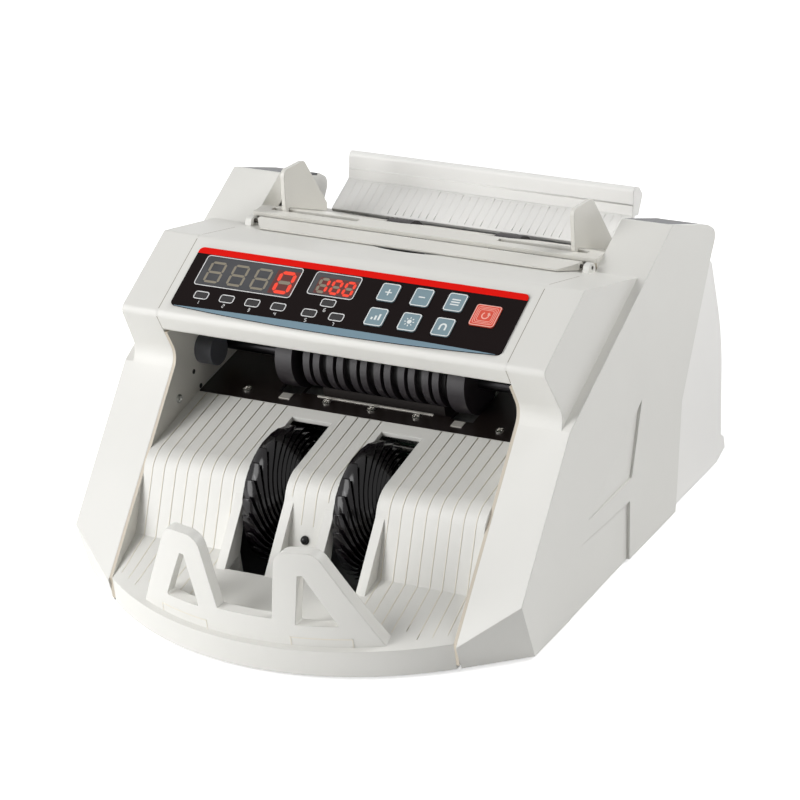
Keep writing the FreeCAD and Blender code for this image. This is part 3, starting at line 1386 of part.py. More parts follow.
def rear_points():
    """Side-view outline of the rear cover: stepped rim, bulged back and low top."""
    def rear_edge(z):
        part = (z - REAR_HIP_Z) / (REAR_TOP_Z - REAR_HIP_Z)
        return REAR_HIP_Y + part * (REAR_TOP_Y - REAR_HIP_Y)

    waist_z = REAR_RIM_TOP_Z + REAR_RIM_Y - REAR_WAIST_Y
    return [
        (REAR_HEEL_Y, FOOT_HEIGHT),
        (REAR_BOTTOM_Y, FOOT_HEIGHT),
        (REAR_RIM_Y, REAR_RIM_LOW_Z),
        (REAR_RIM_Y, REAR_RIM_TOP_Z),
        (REAR_WAIST_Y, waist_z),
        (REAR_BULGE_Y, REAR_BULGE_Z, REAR_BULGE_ROUND),
        (REAR_SHOULDER_Y, REAR_COVER_TOP_Z, REAR_SHOULDER_ROUND),
        (rear_edge(REAR_COVER_TOP_Z), REAR_COVER_TOP_Z),
        (REAR_HIP_Y, REAR_HIP_Z),
    ]


def mouth(points, x):
    """The open front of the rear cover, between its side walls."""
    heel, hip, top = points[0], points[-1], points[-2]
    depth = 2 * REAR_COVER_WALL
    return slab([
        (heel[0] - 1, BASE_TOP), (heel[0] + depth, BASE_TOP),
        (hip[0] + depth, hip[1]), (top[0] + depth, top[1] - REAR_COVER_WALL),
        (top[0] - depth, top[1] - REAR_COVER_WALL), (hip[0] - 1, hip[1]),
    ], -x, x)


def tub(x, z, width, height, floor_y, grow):
    """Block behind the rear cover's skin that a pocket is sunk into, or the pocket itself."""
    left, right = x - width / 2 - grow, x + width / 2 + grow
    low, high = z - height / 2 - grow, z + height / 2 + grow
    corners = ((left, low), (right, low), (right, high), (left, high))
    return front_slab([(a, b, POCKET_ROUND + grow) for a, b in corners], floor_y - grow, FAR)


def rear_tubs(grow):
    return [
        tub(MAINS_PANEL_X, MAINS_PANEL_Z, MAINS_PANEL_WIDTH, MAINS_PANEL_HEIGHT, MAINS_PANEL_Y, grow),
        tub(0, KNOB_Z, KNOB_POCKET_SIZE, KNOB_POCKET_SIZE, KNOB_POCKET_Y, grow),
    ]


def rear_openings():
    """Holes for the mains fittings, the adjuster spindle and the vents."""
    holes = [
        box(INLET_X - INLET_WIDTH / 2, INLET_X + INLET_WIDTH / 2, 0, FAR,
            MAINS_PANEL_Z - INLET_HEIGHT / 2, MAINS_PANEL_Z + INLET_HEIGHT / 2),
        box(SWITCH_X - SWITCH_WIDTH / 2, SWITCH_X + SWITCH_WIDTH / 2, 0, FAR,
            MAINS_PANEL_Z - SWITCH_HEIGHT / 2, MAINS_PANEL_Z + SWITCH_HEIGHT / 2),
        stud(FUSE_X, MAINS_PANEL_Z, FUSE_RADIUS, 0, FAR),
        stud(0, KNOB_Z, SPINDLE_RADIUS + RUN_FIT, 0, FAR),
    ]
    left, right = VENT_X - VENT_WIDTH / 2, VENT_X + VENT_WIDTH / 2
    for i in range(VENT_COUNT):
        z = VENT_Z + (i - (VENT_COUNT - 1) / 2) * VENT_PITCH
        holes.append(box(left, right, REAR_RIM_Y - 2 * REAR_COVER_WALL, FAR, z, z + VENT_HEIGHT))
    return holes


def rear_cover():
    """Bulged back moulding, open in front, with sunk panels for the mains fittings and the knob."""
    points = rear_points()
    skin = slab(points, -REAR_COVER_X, REAR_COVER_X)
    inside = REAR_COVER_X - REAR_COVER_WALL
    shell = skin.cut(inset_slab(points, REAR_COVER_WALL, -inside, inside)).cut(mouth(points, inside))
    tubs = [skin.common(block) for block in rear_tubs(REAR_COVER_WALL)]
    return shell.fuse(tubs).cut(rear_tubs(0)).cut(rear_openings())


def power_inlet():
    """Appliance inlet with its socket, seated in the rear panel."""
    def block(width, height, y0, y1, radius):
        left, right = INLET_X - width / 2, INLET_X + width / 2
        low, high = MAINS_PANEL_Z - height / 2, MAINS_PANEL_Z + height / 2
        corners = ((left, low), (right, low), (right, high), (left, high))
        return front_slab([(a, b, radius) for a, b in corners], y0, y1)

    outer = MAINS_PANEL_Y + INLET_FLANGE_THICKNESS
    body = block(INLET_WIDTH, INLET_HEIGHT, MAINS_PANEL_Y - INLET_DEPTH, MAINS_PANEL_Y, 0)
    rim = 2 * INLET_FLANGE
    flange = block(INLET_WIDTH + rim, INLET_HEIGHT + rim, MAINS_PANEL_Y, outer, INLET_ROUND)
    socket = block(SOCKET_WIDTH, SOCKET_HEIGHT, outer - SOCKET_DEPTH, outer, INLET_ROUND)
    return body.fuse(flange).cut(socket)


def inlet_pins():
    """Three flat pins standing in the socket."""
    foot = MAINS_PANEL_Y + INLET_FLANGE_THICKNESS - SOCKET_DEPTH
    pins = []
    for x, z in PINS:
        corner = Vec(INLET_X + x - PIN_WIDTH / 2, foot, MAINS_PANEL_Z + z - PIN_HEIGHT / 2)
        pins.append(Part.makeBox(PIN_WIDTH, PIN_LENGTH, PIN_HEIGHT, corner))
    return Part.makeCompound(pins)


def switch_block(grow, y0, y1):
    """Block with the switch's front outline, grown or shrunk all round."""
    half_x, half_z = SWITCH_WIDTH / 2 + grow, SWITCH_HEIGHT / 2 + grow
    return box(SWITCH_X - half_x, SWITCH_X + half_x, y0, y1, MAINS_PANEL_Z - half_z, MAINS_PANEL_Z + half_z)


def rocker_pin(radius, inset):
    half = SWITCH_WIDTH / 2 - inset
    return rod(MAINS_PANEL_Y - ROCKER_AXIS_DEPTH, MAINS_PANEL_Z, radius, SWITCH_X - half, SWITCH_X + half)


def switch_bezel():
    """Frame of the mains switch."""
    body = switch_block(0, MAINS_PANEL_Y - SWITCH_DEPTH, MAINS_PANEL_Y)
    edge = switch_block(SWITCH_EDGE, MAINS_PANEL_Y, MAINS_PANEL_Y + SWITCH_EDGE)
    well = switch_block(-SWITCH_EDGE, MAINS_PANEL_Y - SWITCH_DEPTH / 2, FAR)
    return body.fuse(edge).cut([well, rocker_pin(ROCKER_PIN_RADIUS + RUN_FIT, 0)])


def switch_rocker():
    """Rocker with a dished face on a cross pin."""
    half = SWITCH_WIDTH / 2 - SWITCH_EDGE - ROCKER_GAP
    reach = SWITCH_HEIGHT / 2 - SWITCH_EDGE - 2 * ROCKER_GAP
    tip = reach - ROCKER_SHOULDER
    y = MAINS_PANEL_Y - ROCKER_AXIS_DEPTH
    z = MAINS_PANEL_Z
    body = slab([
        (y - ROCKER_KEEL, z - ROCKER_KEEL),
        (y + ROCKER_SHOULDER, z - reach),
        (y + ROCKER_RISE, z - tip),
        (y + ROCKER_RISE - ROCKER_DISH, z),
        (y + ROCKER_RISE, z + tip),
        (y + ROCKER_SHOULDER, z + reach),
        (y - ROCKER_KEEL, z + ROCKER_KEEL),
    ], SWITCH_X - half, SWITCH_X + half)
    rocker = body.fuse(rocker_pin(ROCKER_PIN_RADIUS, ROCKER_GAP)).removeSplitter()
    rocker.rotate(Vec(SWITCH_X, y, z), Vec(1, 0, 0), -ROCKER_ANGLE)
    return rocker


def fuse_holder():
    """Round fuse holder with a slotted cap."""
    top = MAINS_PANEL_Y + FUSE_CAP_HEIGHT
    body = stud(FUSE_X, MAINS_PANEL_Z, FUSE_RADIUS, MAINS_PANEL_Y - FUSE_DEPTH, MAINS_PANEL_Y)
    cap = stud(FUSE_X, MAINS_PANEL_Z, FUSE_CAP_RADIUS, MAINS_PANEL_Y, top)
    half = FUSE_SLOT_WIDTH / 2
    low, high = MAINS_PANEL_Z - half, MAINS_PANEL_Z + half
    slot = box(FUSE_X - FUSE_RADIUS, FUSE_X + FUSE_RADIUS, top - FUSE_SLOT_DEPTH, top, low, high)
    return body.fuse(cap).cut(slot).removeSplitter()


def thickness_knob():
    """Fluted knob that sets the note gap, in one piece with its spindle."""
    y0 = KNOB_POCKET_Y + KNOB_GAP
    knob = stud(0, KNOB_Z, KNOB_RADIUS, y0, y0 + KNOB_LENGTH)
    flutes = []
    for i in range(KNOB_FLUTES):
        angle = 2 * math.pi * i / KNOB_FLUTES
        x, z = KNOB_RADIUS * math.cos(angle), KNOB_Z + KNOB_RADIUS * math.sin(angle)
        flutes.append(stud(x, z, FLUTE_RADIUS, y0 + KNOB_COLLAR, FAR))
    return knob.cut(flutes).fuse(stud(0, KNOB_Z, SPINDLE_RADIUS, ADJUSTER_Y - SPINDLE_TAIL, y0))


def adjuster_bar():
    """Cross bar between the chassis plates that guides the spindle."""
    bar = box(-PLATE_IN, PLATE_IN, ADJUSTER_Y, ADJUSTER_Y + ADJUSTER_THICKNESS,
              KNOB_Z - ADJUSTER_HEIGHT / 2, KNOB_Z + ADJUSTER_HEIGHT / 2)
    return bar.cut(stud(0, KNOB_Z, SPINDLE_RADIUS + RUN_FIT, 0, FAR))


# Electronics and power

def main_board_corners():
    half_x, half_y = MAIN_BOARD_WIDTH / 2 - SPACER_INSET, MAIN_BOARD_LENGTH / 2 - SPACER_INSET
    return [(MAIN_BOARD_X + a * half_x, MAIN_BOARD_Y + b * half_y) for a in (-1, 1) for b in (-1, 1)]


def main_board():
    """Control board with its heat sink, chips and capacitors."""
    x0, x1 = MAIN_BOARD_X - MAIN_BOARD_WIDTH / 2, MAIN_BOARD_X + MAIN_BOARD_WIDTH / 2
    y0, y1 = MAIN_BOARD_Y - MAIN_BOARD_LENGTH / 2, MAIN_BOARD_Y + MAIN_BOARD_LENGTH / 2
    low = BASE_TOP + SPACER_HEIGHT
    top = low + BOARD_THICKNESS
    board = box(x0, x1, y0, y1, low, top)
    sink = Part.makeBox(SINK_WIDTH, SINK_LENGTH, SINK_HEIGHT, Vec(x0 + SINK_SIDE, y0 + SINK_FRONT, top))
    corner = Vec(MAIN_BOARD_X - CHIP_WIDTH / 2, MAIN_BOARD_Y - CHIP_LENGTH / 2, top)
    chip = Part.makeBox(CHIP_WIDTH, CHIP_LENGTH, CHIP_HEIGHT, corner)
    can_x = [x1 - CAN_INSET - i * CAN_PITCH for i in range(CANS)]
    cans = [post(x, y1 - CAN_INSET, CAN_RADIUS, top, top + CAN_HEIGHT) for x in can_x]
    return board.fuse([sink, chip] + cans)


def transformer_core():
    """Laminated core with two windows for the coil."""
    x0, x1 = CORE_X - CORE_WIDTH / 2, CORE_X + CORE_WIDTH / 2
    y0, y1 = CORE_Y - CORE_LENGTH / 2, CORE_Y + CORE_LENGTH / 2
    core = box(x0, x1, y0, y1, BASE_TOP, BASE_TOP + CORE_HEIGHT)
    leg = CORE_WIDTH / 6
    low, high = BASE_TOP + leg, BASE_TOP + CORE_HEIGHT - leg
    gaps = [box(x0 + leg, CORE_X - leg, y0, y1, low, high), box(CORE_X + leg, x1 - leg, y0, y1, low, high)]
    return core.cut(gaps)


def transformer_coil():
    """Winding round the middle leg of the core."""
    leg = CORE_WIDTH / 6
    low, high = BASE_TOP + leg, BASE_TOP + CORE_HEIGHT - leg
    half_x, half_y = COIL_WIDTH / 2, COIL_LENGTH / 2
    corners = ((-half_x, -half_y), (half_x, -half_y), (half_x, half_y), (-half_x, half_y))
    coil = plan_slab([(CORE_X + a, CORE_Y + b, COIL_ROUND) for a, b in corners], low, high)
    front, back = CORE_Y - CORE_LENGTH / 2, CORE_Y + CORE_LENGTH / 2
    return coil.cut(box(CORE_X - leg, CORE_X + leg, front, back, low, high))


def save_casing():
    cover = side_cover()
    save("right_side_cover", cover)
    save("left_side_cover", mirrored(cover))
    save("top_caps", both(cap_shape()))
    save("rear_cover", rear_cover())
    save("base_plate", base_plate())
    save("rubber_feet", feet())


def save_panel():
    save("display_housing", display_housing())
    save("panel_overlay", panel_overlay())
    save("display_board", display_board())
    save("display_windows", on_panel(Part.makeCompound(windows())))
    save("display_modules", Part.makeCompound([display_module(*place) for place in window_places()]))
    save("lamp_windows", on_panel(Part.makeCompound(lamp_panes())))
    for name, x, down, width, height in key_places():
        save(name, key(x, down, width, height))


def save_stacker():
    save("stacker_tray", stacker_tray())
    save("stacker_sensor", stacker_sensor())
    left = -shaft_reach(BELT_PLANE)
    save("impeller_shaft", rod(IMPELLER_Y, IMPELLER_Z, IMPELLER_SHAFT_RADIUS, left, SHAFT_END))
    save("impeller_wheels", Part.makeCompound([impeller_wheel(-WHEEL_X), impeller_wheel(WHEEL_X)]))
    drive = pulley(IMPELLER_Y, IMPELLER_Z, IMPELLER_PULLEY_RADIUS, IMPELLER_SHAFT_RADIUS, BELT_PLANE)
    save("impeller_pulley", mirrored(drive))


def save_feed():
    reach = shaft_reach(BELT_PLANE)
    save("feed_shaft", rod(FEED_Y, FEED_Z, FEED_SHAFT_RADIUS, -reach, reach))
    save("feed_roller_core", feed_core())
    save("feed_roller_rings", feed_rings())
    save("feed_wheels", feed_wheels())
    driven = mirrored(pulley(FEED_Y, FEED_Z, FEED_PULLEY_RADIUS, FEED_SHAFT_RADIUS, BELT_PLANE))
    driving = pulley(FEED_Y, FEED_Z, SIDE_PULLEY_RADIUS, FEED_SHAFT_RADIUS, BELT_PLANE)
    save("feed_pulleys", Part.makeCompound([driven, driving]))
    save("encoder_disc", encoder_disc())
    save("guide_plate", guide_plate())
    save("spring_tabs", spring_tabs())
    save("separator_pad", separator_pad())
    save("side_sensors", side_sensors())


def save_hopper():
    save("hopper_deck", hopper_deck())
    save("hopper_back_plate", hopper_back_plate())
    save("hopper_lid", hopper_lid())
    save("lid_pins", lid_pins())
    save("right_note_guide", note_guide())
    save("left_note_guide", mirrored(note_guide()))
    right = shaft_reach(BELT_PLANE)
    save("pickup_shaft", rod(PICKUP_Y, PICKUP_Z, PICKUP_SHAFT_RADIUS, -SHAFT_END, right))
    save("pickup_rollers", pickup_rollers())
    save("pickup_pulley", pulley(PICKUP_Y, PICKUP_Z, PICKUP_PULLEY_RADIUS, PICKUP_SHAFT_RADIUS, BELT_PLANE))


def save_drive():
    feed_motor, stack_motor = (FEED_MOTOR_Y, FEED_MOTOR_Z), (STACK_MOTOR_Y, STACK_MOTOR_Z)
    impeller, feed, pickup = [place[:2] for place in shaft_places()]
    save("drive_motors", Part.makeCompound([motor(*place) for place in motor_places()]))
    save("feed_motor_pulley", motor_pulley(*feed_motor, FEED_DRIVE_RADIUS))
    save("stacker_motor_pulley", motor_pulley(*stack_motor, STACK_DRIVE_RADIUS))
    x0 = BELT_PLANE + FLANGE_THICKNESS + BELT_GAP
    feeding = belt(feed_motor, FEED_DRIVE_RADIUS, feed, FEED_PULLEY_RADIUS, x0)
    stacking = belt(stack_motor, STACK_DRIVE_RADIUS, impeller, IMPELLER_PULLEY_RADIUS, x0)
    picking = belt(feed, SIDE_PULLEY_RADIUS, pickup, PICKUP_PULLEY_RADIUS, x0)
    save("drive_belts", Part.makeCompound([mirrored(feeding), mirrored(stacking), picking]))


def save_chassis():
    save("right_chassis_plate", chassis_plate())
    save("left_chassis_plate", left_chassis_plate())
    save("cross_rods", cross_rods())
    save("shaft_bushes", Part.makeCompound([bushes(*place) for place in shaft_places()]))
    save("cross_bars", Part.makeCompound([separator_bracket(), adjuster_bar()]))
    save("main_board", main_board())
    save("transformer", Part.makeCompound([transformer_core(), transformer_coil()]))


def save_rear_fittings():
    save("power_inlet", power_inlet())
    save("inlet_pins", inlet_pins())
    save("switch_bezel", switch_bezel())
    save("switch_rocker", switch_rocker())
    save("fuse_holder", fuse_holder())
    save("thickness_knob", thickness_knob())


save_casing()
save_panel()
save_stacker()
save_feed()
save_hopper()
save_drive()
save_chassis()
save_rear_fittings()
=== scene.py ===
"""Looks of a banknote counting machine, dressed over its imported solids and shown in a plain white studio."""
import math

import bmesh
import bpy
import numpy as np
from mathutils import Matrix, Vector


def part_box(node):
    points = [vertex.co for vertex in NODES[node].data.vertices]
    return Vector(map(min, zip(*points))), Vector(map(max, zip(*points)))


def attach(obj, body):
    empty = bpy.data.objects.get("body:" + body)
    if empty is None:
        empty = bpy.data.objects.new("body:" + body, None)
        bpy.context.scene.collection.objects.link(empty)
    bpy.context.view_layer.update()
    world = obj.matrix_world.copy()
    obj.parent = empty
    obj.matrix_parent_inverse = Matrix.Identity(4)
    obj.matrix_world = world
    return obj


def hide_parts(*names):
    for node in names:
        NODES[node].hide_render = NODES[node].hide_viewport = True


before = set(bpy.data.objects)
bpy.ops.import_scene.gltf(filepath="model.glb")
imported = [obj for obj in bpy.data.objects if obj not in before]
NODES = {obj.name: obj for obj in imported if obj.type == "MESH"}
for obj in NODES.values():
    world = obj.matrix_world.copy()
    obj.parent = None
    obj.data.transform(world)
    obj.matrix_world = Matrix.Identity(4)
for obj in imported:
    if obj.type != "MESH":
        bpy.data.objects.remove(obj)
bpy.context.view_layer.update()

bl_info = {
    "name": "Banknote Counter",
    "version": (1, 0, 0),
    "blender": (4, 5, 0),
    "location": "View3D > Sidebar > Counter",
    "description": "Finishes, printed panel, ribs and fittings of a banknote counting machine",
    "category": "Object",
}

# Sizes in the operators are in millimetres, and every shape is made in metres.
MM = 0.001
MACHINE = "machine"


def linear(code):
    """Turns an sRGB hex colour into linear red, green and blue."""
    value = np.array([int(code[i:i + 2], 16) for i in (1, 3, 5)]) / 255
    return tuple(np.where(value <= 0.04045, value / 12.92, ((value + 0.055) / 1.055) ** 2.4))


def colour(label, code, note):
    """A colour that the user may change, with its default written as sRGB hex."""
    return bpy.props.FloatVectorProperty(
        name=label, description=note, default=linear(code), subtype="COLOR", min=0.0, max=1.0)


def length(label, size, note):
    """A length that the user may change, given in millimetres and kept in metres."""
    return bpy.props.FloatProperty(
        name=label, description=note, default=size * MM, subtype="DISTANCE", unit="LENGTH", precision=4)


def angle(label, degrees, note):
    """An angle that the user may change, given in degrees."""
    return bpy.props.FloatProperty(
        name=label, description=note, default=math.radians(degrees), subtype="ANGLE", unit="ROTATION")


def power(label, watts, note):
    """A lamp's power that the user may change."""
    return bpy.props.FloatProperty(name=label, description=note, default=watts, subtype="POWER")


class CasingLooks(bpy.types.PropertyGroup):
    """Colours and edge rounding of the mouldings."""
    shell: colour("Casing", "#e6e5e0", "Warm white of the outer mouldings")
    # The rear's paler white is painted light, standing in for the brighter light on the rear cover and hopper
    # back.
    rear: colour("Rear cover", "#f6f5f2", "Paler white of the rear cover and the hopper back")
    hopper: colour("Hopper", "#e4e2db", "Slightly warmer white of the hopper mouldings")
    cap: colour("Caps", "#4c4d50", "Dark caps on the back-sloping tops")
    plate: colour("Inner cheeks", "#dcdad3", "Paint on the chassis plates")
    plate_edge: colour("Plate edges", "#cec4b4", "Bare cut edge of the chassis plates")
    edge: length("Edge rounding", 0.6, "Rounding that every moulded edge gets")


class PanelPrint(bpy.types.PropertyGroup):
    """Sizes and inks of the control panel."""
    origin_y: length("Panel top, depth", 13.0, "Depth of the nose's top edge")
    origin_z: length("Panel top, height", 167.8, "Height of the nose's top edge")
    tilt: angle("Panel slope", 25.3, "How far the panel leans back")
    film: colour("Film", "#130b0b", "Printed ground of the film")
    stripe: colour("Stripe", "#e8150c", "Stripe along the top of the film")
    crescent: colour("Crescent", "#7f98a6", "Band along the lower edge of the film")
    ink: colour("Outline ink", "#e3e3e3", "Outlines and marks on the film")
    key: colour("Keys", "#7d949d", "Blue-grey key caps")
    restart: colour("Restart key", "#e0503c", "Red key cap")
    lit: colour("Lit segment", "#ff380c", "Lit bars of the displays")
    unlit: colour("Unlit segment", "#877f6f", "Bars that are off")
    outline: length("Outline width", 0.55, "Width of the printed outlines")
    relief: length("Ink relief", 0.05, "How far ink stands on the film")


class StackerDetail(bpy.types.PropertyGroup):
    """Ribs and fasteners along the note path."""
    rib_pitch: length("Rib pitch", 7.8, "Distance from rib to rib on the tray")
    rib_width: length("Rib width", 0.9, "Width of a tray rib at its foot")
    rib_height: length("Rib height", 0.26, "Height of a tray rib")
    screw_radius: length("Screw head radius", 2.7, "Radius of the pan heads on the guide plate")
    blade: colour("Stacker wheels", "#0b070b", "Glossy black of the bladed wheels")
    rubber: colour("Rubber", "#1e191d", "Feed rings and wheels")


class StudioSet(bpy.types.PropertyGroup):
    """Camera, lamps and backdrop."""
    azimuth: angle("Camera azimuth", 34.237, "Turn of the camera from the front to the right")
    elevation: angle("Camera elevation", 27.146, "Height of the camera over the horizon")
    roll: angle("Camera roll", 8.0, "Tilt of the picture")
    distance: length("Camera distance", 2404.0, "Distance from the camera to its target")
    target_x: length("Target x", 13.17, "Point that the camera looks at")
    target_y: length("Target y", 5.0, "Point that the camera looks at")
    target_z: length("Target z", 85.71, "Point that the camera looks at")
    lens: bpy.props.FloatProperty(
        name="Lens", description="Focal length for a 36 mm sensor", default=193.3, subtype="DISTANCE_CAMERA")
    high_power: power("High lamp", 27.0, "Soft lamp in front on the left, set high")
    low_power: power("Low lamp", 26.5, "Soft lamp in front on the left, set low")
    back_power: power("Back lamp", 33.0, "Lamp behind on the right")
    ambient: bpy.props.FloatProperty(
        name="Ambient", description="Even light from the surroundings", default=0.1, subtype="FACTOR",
        min=0, max=2)
    floor_lift: bpy.props.FloatProperty(
        name="Floor lift", description="Whiteness that the floor shows to the camera", default=0.6,
        min=0, max=1)


def add(tree, kind, inputs=None, **settings):
    """Adds a node, sets its properties and fills its inputs with values or links."""
    node = tree.nodes.new(kind)
    for key, value in settings.items():
        setattr(node, key, value)
    for key, value in (inputs or {}).items():
        socket = node.inputs[key]
        if isinstance(value, bpy.types.NodeSocket):
            tree.links.new(value, socket)
        else:
            socket.default_value = value
    return node


def per_mm(size):
    """Texture scale that gives features of a size in millimetres on Object coordinates in metres."""
    return 1 / (size * MM)


def rgba(value):
    """A solid colour with full alpha."""
    return (*value, 1.0)


def surface(name, **sockets):
    """Starts a material with one shader, whose even values sit on its own sockets."""
    material = bpy.data.materials.new(name)
    material.use_nodes = True
    tree = material.node_tree
    tree.nodes.clear()
    shader = add(tree, "ShaderNodeBsdfPrincipled", {k.replace("_", " "): v for k, v in sockets.items()})
    add(tree, "ShaderNodeOutputMaterial", {"Surface": shader.outputs["BSDF"]})
    return material, tree, shader


GLOSS_SPREAD = 0.06
BUMP_STRENGTH = 0.35


def grained(name, tone, size, relief, rough, shade=0.05, drift=40.0, edge=0.0, **sockets):
    """Material whose grain of a size in mm lifts the surface and shifts its colour and gloss a little.

    A fine noise drives bump and roughness, and a slow noise of the drift size drives the shade of colour.
    Real grain is mostly finer than the picture can show, so sizes are drawn as coarse as they need to show.
    The tone is a setting's colour or an sRGB hex code. With an edge radius in metres, light also rounds the
    moulding's sharp edges.
    """
    material, tree, shader = surface(name, **sockets)
    tone = linear(tone) if isinstance(tone, str) else tone
    place = add(tree, "ShaderNodeTexCoord").outputs["Object"]
    fine = {"Vector": place, "Scale": per_mm(size), "Detail": 3.0}
    broad = {"Vector": place, "Scale": per_mm(drift), "Detail": 2.0}
    grain, slow = (add(tree, "ShaderNodeTexNoise", inputs).outputs["Fac"] for inputs in (fine, broad))
    low, high = (rgba([min(1.0, c * factor) for c in tone]) for factor in (1 - shade, 1 + shade))
    tint = add(tree, "ShaderNodeMix", {"Factor": slow, "A": low, "B": high}, data_type="RGBA")
    tree.links.new(tint.outputs["Result"], shader.inputs["Base Color"])
    gloss = add(tree, "ShaderNodeMapRange", {
        "Value": grain, "To Min": rough - GLOSS_SPREAD, "To Max": rough + GLOSS_SPREAD})
    tree.links.new(gloss.outputs["Result"], shader.inputs["Roughness"])
    bump = add(tree, "ShaderNodeBump", {"Height": grain, "Strength": BUMP_STRENGTH, "Distance": relief * MM})
    if edge:
        rounded = add(tree, "ShaderNodeBevel", {"Radius": edge}, samples=4)
        tree.links.new(rounded.outputs["Normal"], bump.inputs["Normal"])
    tree.links.new(bump.outputs["Normal"], shader.inputs["Normal"])
    return material


def dress(material, *names):
    """Gives CAD pieces a finish in place of the plain one they came with."""
    for name in names:
        slots = NODES[name].data.materials
        slots.clear()
        slots.append(material)


def finish(pieces, *grain, **sockets):
    """Makes a grained material and gives it to CAD pieces, whose names stand in one text."""
    material = grained(*grain, **sockets)
    dress(material, *pieces.split())
    return material


def piece(name, shape, material, body=MACHINE, smooth=False):
    """Makes one object at the origin from points in metres and faces, and lets it ride on a body."""
    points, faces = shape
    mesh = bpy.data.meshes.new(name)
    mesh.from_pydata(points.tolist(), [], faces)
    work = bmesh.new()
    work.from_mesh(mesh)
    bmesh.ops.recalc_face_normals(work, faces=work.faces)
    work.to_mesh(mesh)
    work.free()
    mesh.polygons.foreach_set("use_smooth", np.full(len(mesh.polygons), smooth))
    mesh.materials.append(material)
    made = bpy.data.objects.new(name, mesh)
    bpy.context.scene.collection.objects.link(made)
    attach(made, body)
    return made


def in_metres(shape):
    """The same shape with its points taken from millimetres to metres."""
    points, faces = shape
    return points * MM, faces


def joined(shapes):
    """Several shapes as one: the face corners of each are moved past the points before it."""
    starts = np.cumsum([0] + [len(points) for points, _ in shapes[:-1]])
    faces = [[int(start) + corner for corner in face]
             for start, (_, each) in zip(starts, shapes) for face in each]
    return np.concatenate([points for points, _ in shapes]), faces


def loft(rows, closed=False):
    """Skin over rows of points: corner j of row i joins corner j of row i + 1; caps end an open run."""
    count, corners = rows.shape[:2]
    index = np.arange(count * corners).reshape(count, corners)
    run = np.vstack([index, index[:1]]) if closed else index
    here, there = run[:-1], run[1:]
    sides = np.stack([here, np.roll(here, -1, 1), np.roll(there, -1, 1), there], -1).reshape(-1, 4).tolist()
    caps = [] if closed else [index[0, ::-1].tolist(), index[-1].tolist()]
    return rows.reshape(-1, 3), sides + caps


def prisms(outlines, low, high):
    """Upright blocks over flat outlines: every outline is set at two heights, walled and capped."""
    outlines = np.asarray(outlines, float)
    count, corners = outlines.shape[:2]
    level = np.broadcast_to(np.array([low, high])[None, :, None, None], (count, 2, corners, 1))
    flat = np.broadcast_to(outlines[:, None], (count, 2, corners, 2))
    points = np.concatenate([flat, level], -1).reshape(-1, 3)
    index = np.arange(count * 2 * corners).reshape(count, 2, corners)
    foot, top = index[:, 0], index[:, 1]
    sides = np.stack([foot, np.roll(foot, -1, 1), np.roll(top, -1, 1), top], -1).reshape(-1, 4)
    return points, sides.tolist() + foot[:, ::-1].tolist() + top.tolist()


def between(one, two, low, high, closed=False):
    """Band between two flat lines: a rectangle from line to line and from low to high, carried along."""
    corners = [(one, low), (one, high), (two, high), (two, low)]
    rows = [np.insert(line, 2, level, 1) for line, level in corners]
    return loft(np.stack(rows, 1), closed)


def carried_across(section, half):
    """Bar in metres: a section of depths and heights in mm, carried straight across from side to side."""
    return in_metres(loft(np.stack([np.insert(section, 0, x, 1) for x in (-half, half)])))


def circle(steps):
    """Cosine and sine of even angles once round."""
    turn = np.linspace(0, 2 * math.pi, steps, endpoint=False)
    return np.stack([np.cos(turn), np.sin(turn)], -1)


def disc(x, t, radius, steps=18):
    """Flat outline of a circle, as points at even angles."""
    return circle(steps) * radius + (x, t)


def hoop(x, t, width, height, radius, band, low, high, steps=5):
    """Flat frame: a rectangle profile carried round a rounded rectangle.

    The path is each corner's centre plus the radius times the cosine and sine of an angle that runs through
    a quarter turn per corner; the profile lies half the band inside and half outside it.
    """
    quarter = np.repeat(np.arange(4), steps)
    turn = (quarter + np.tile(np.linspace(0, 1, steps), 4)) * math.pi / 2
    side = np.array([1, -1, -1, 1])[quarter]
    rise = np.array([1, 1, -1, -1])[quarter]
    way = np.stack([np.cos(turn), np.sin(turn)], -1)
    middle = np.stack([x + side * (width / 2 - radius), t + rise * (height / 2 - radius)], -1)
    return between(middle + way * (radius + band / 2), middle + way * (radius - band / 2), low, high, True)


def on_panel(shape, panel):
    """Carries panel coordinates in mm (across, up the slope, outwards) to the nose in metres.

    Depth is the panel's top edge plus t cos a - n sin a, and height is its top edge plus t sin a + n cos a.
    """
    points, faces = shape
    c, s = math.cos(panel.tilt), math.sin(panel.tilt)
    x, t, n = points.T * MM
    return np.stack([x, panel.origin_y + t * c - n * s, panel.origin_z + t * s + n * c], -1), faces


def ring(x, t, inner, outer, low, high, steps=28):
    """Flat ring: a rectangle between two radii and two heights, carried once round at even angles."""
    return between(disc(x, t, outer, steps), disc(x, t, inner, steps), low, high, True)


def arc_band(x, t, inner, outer, start, end, steps=14):
    """Flat outline of part of a ring: the outer arc forwards and the inner arc back."""
    turn = np.radians(np.linspace(start, end, steps))
    way = np.stack([np.cos(turn), np.sin(turn)], -1)
    return np.concatenate([way * outer, way[::-1] * inner]) + (x, t)


def bar(x, t, width, height):
    """Flat outline of an upright rectangle."""
    return np.array([(-1, -1), (1, -1), (1, 1), (-1, 1)]) * (width / 2, height / 2) + (x, t)


SEGMENTS = {"0": "abcdef", "1": "bc", "2": "abged", "3": "abgcd", "4": "fgbc", "5": "afgcd", "6": "afgedc",
            "7": "abc"}
SEGMENT_GAP = 0.15


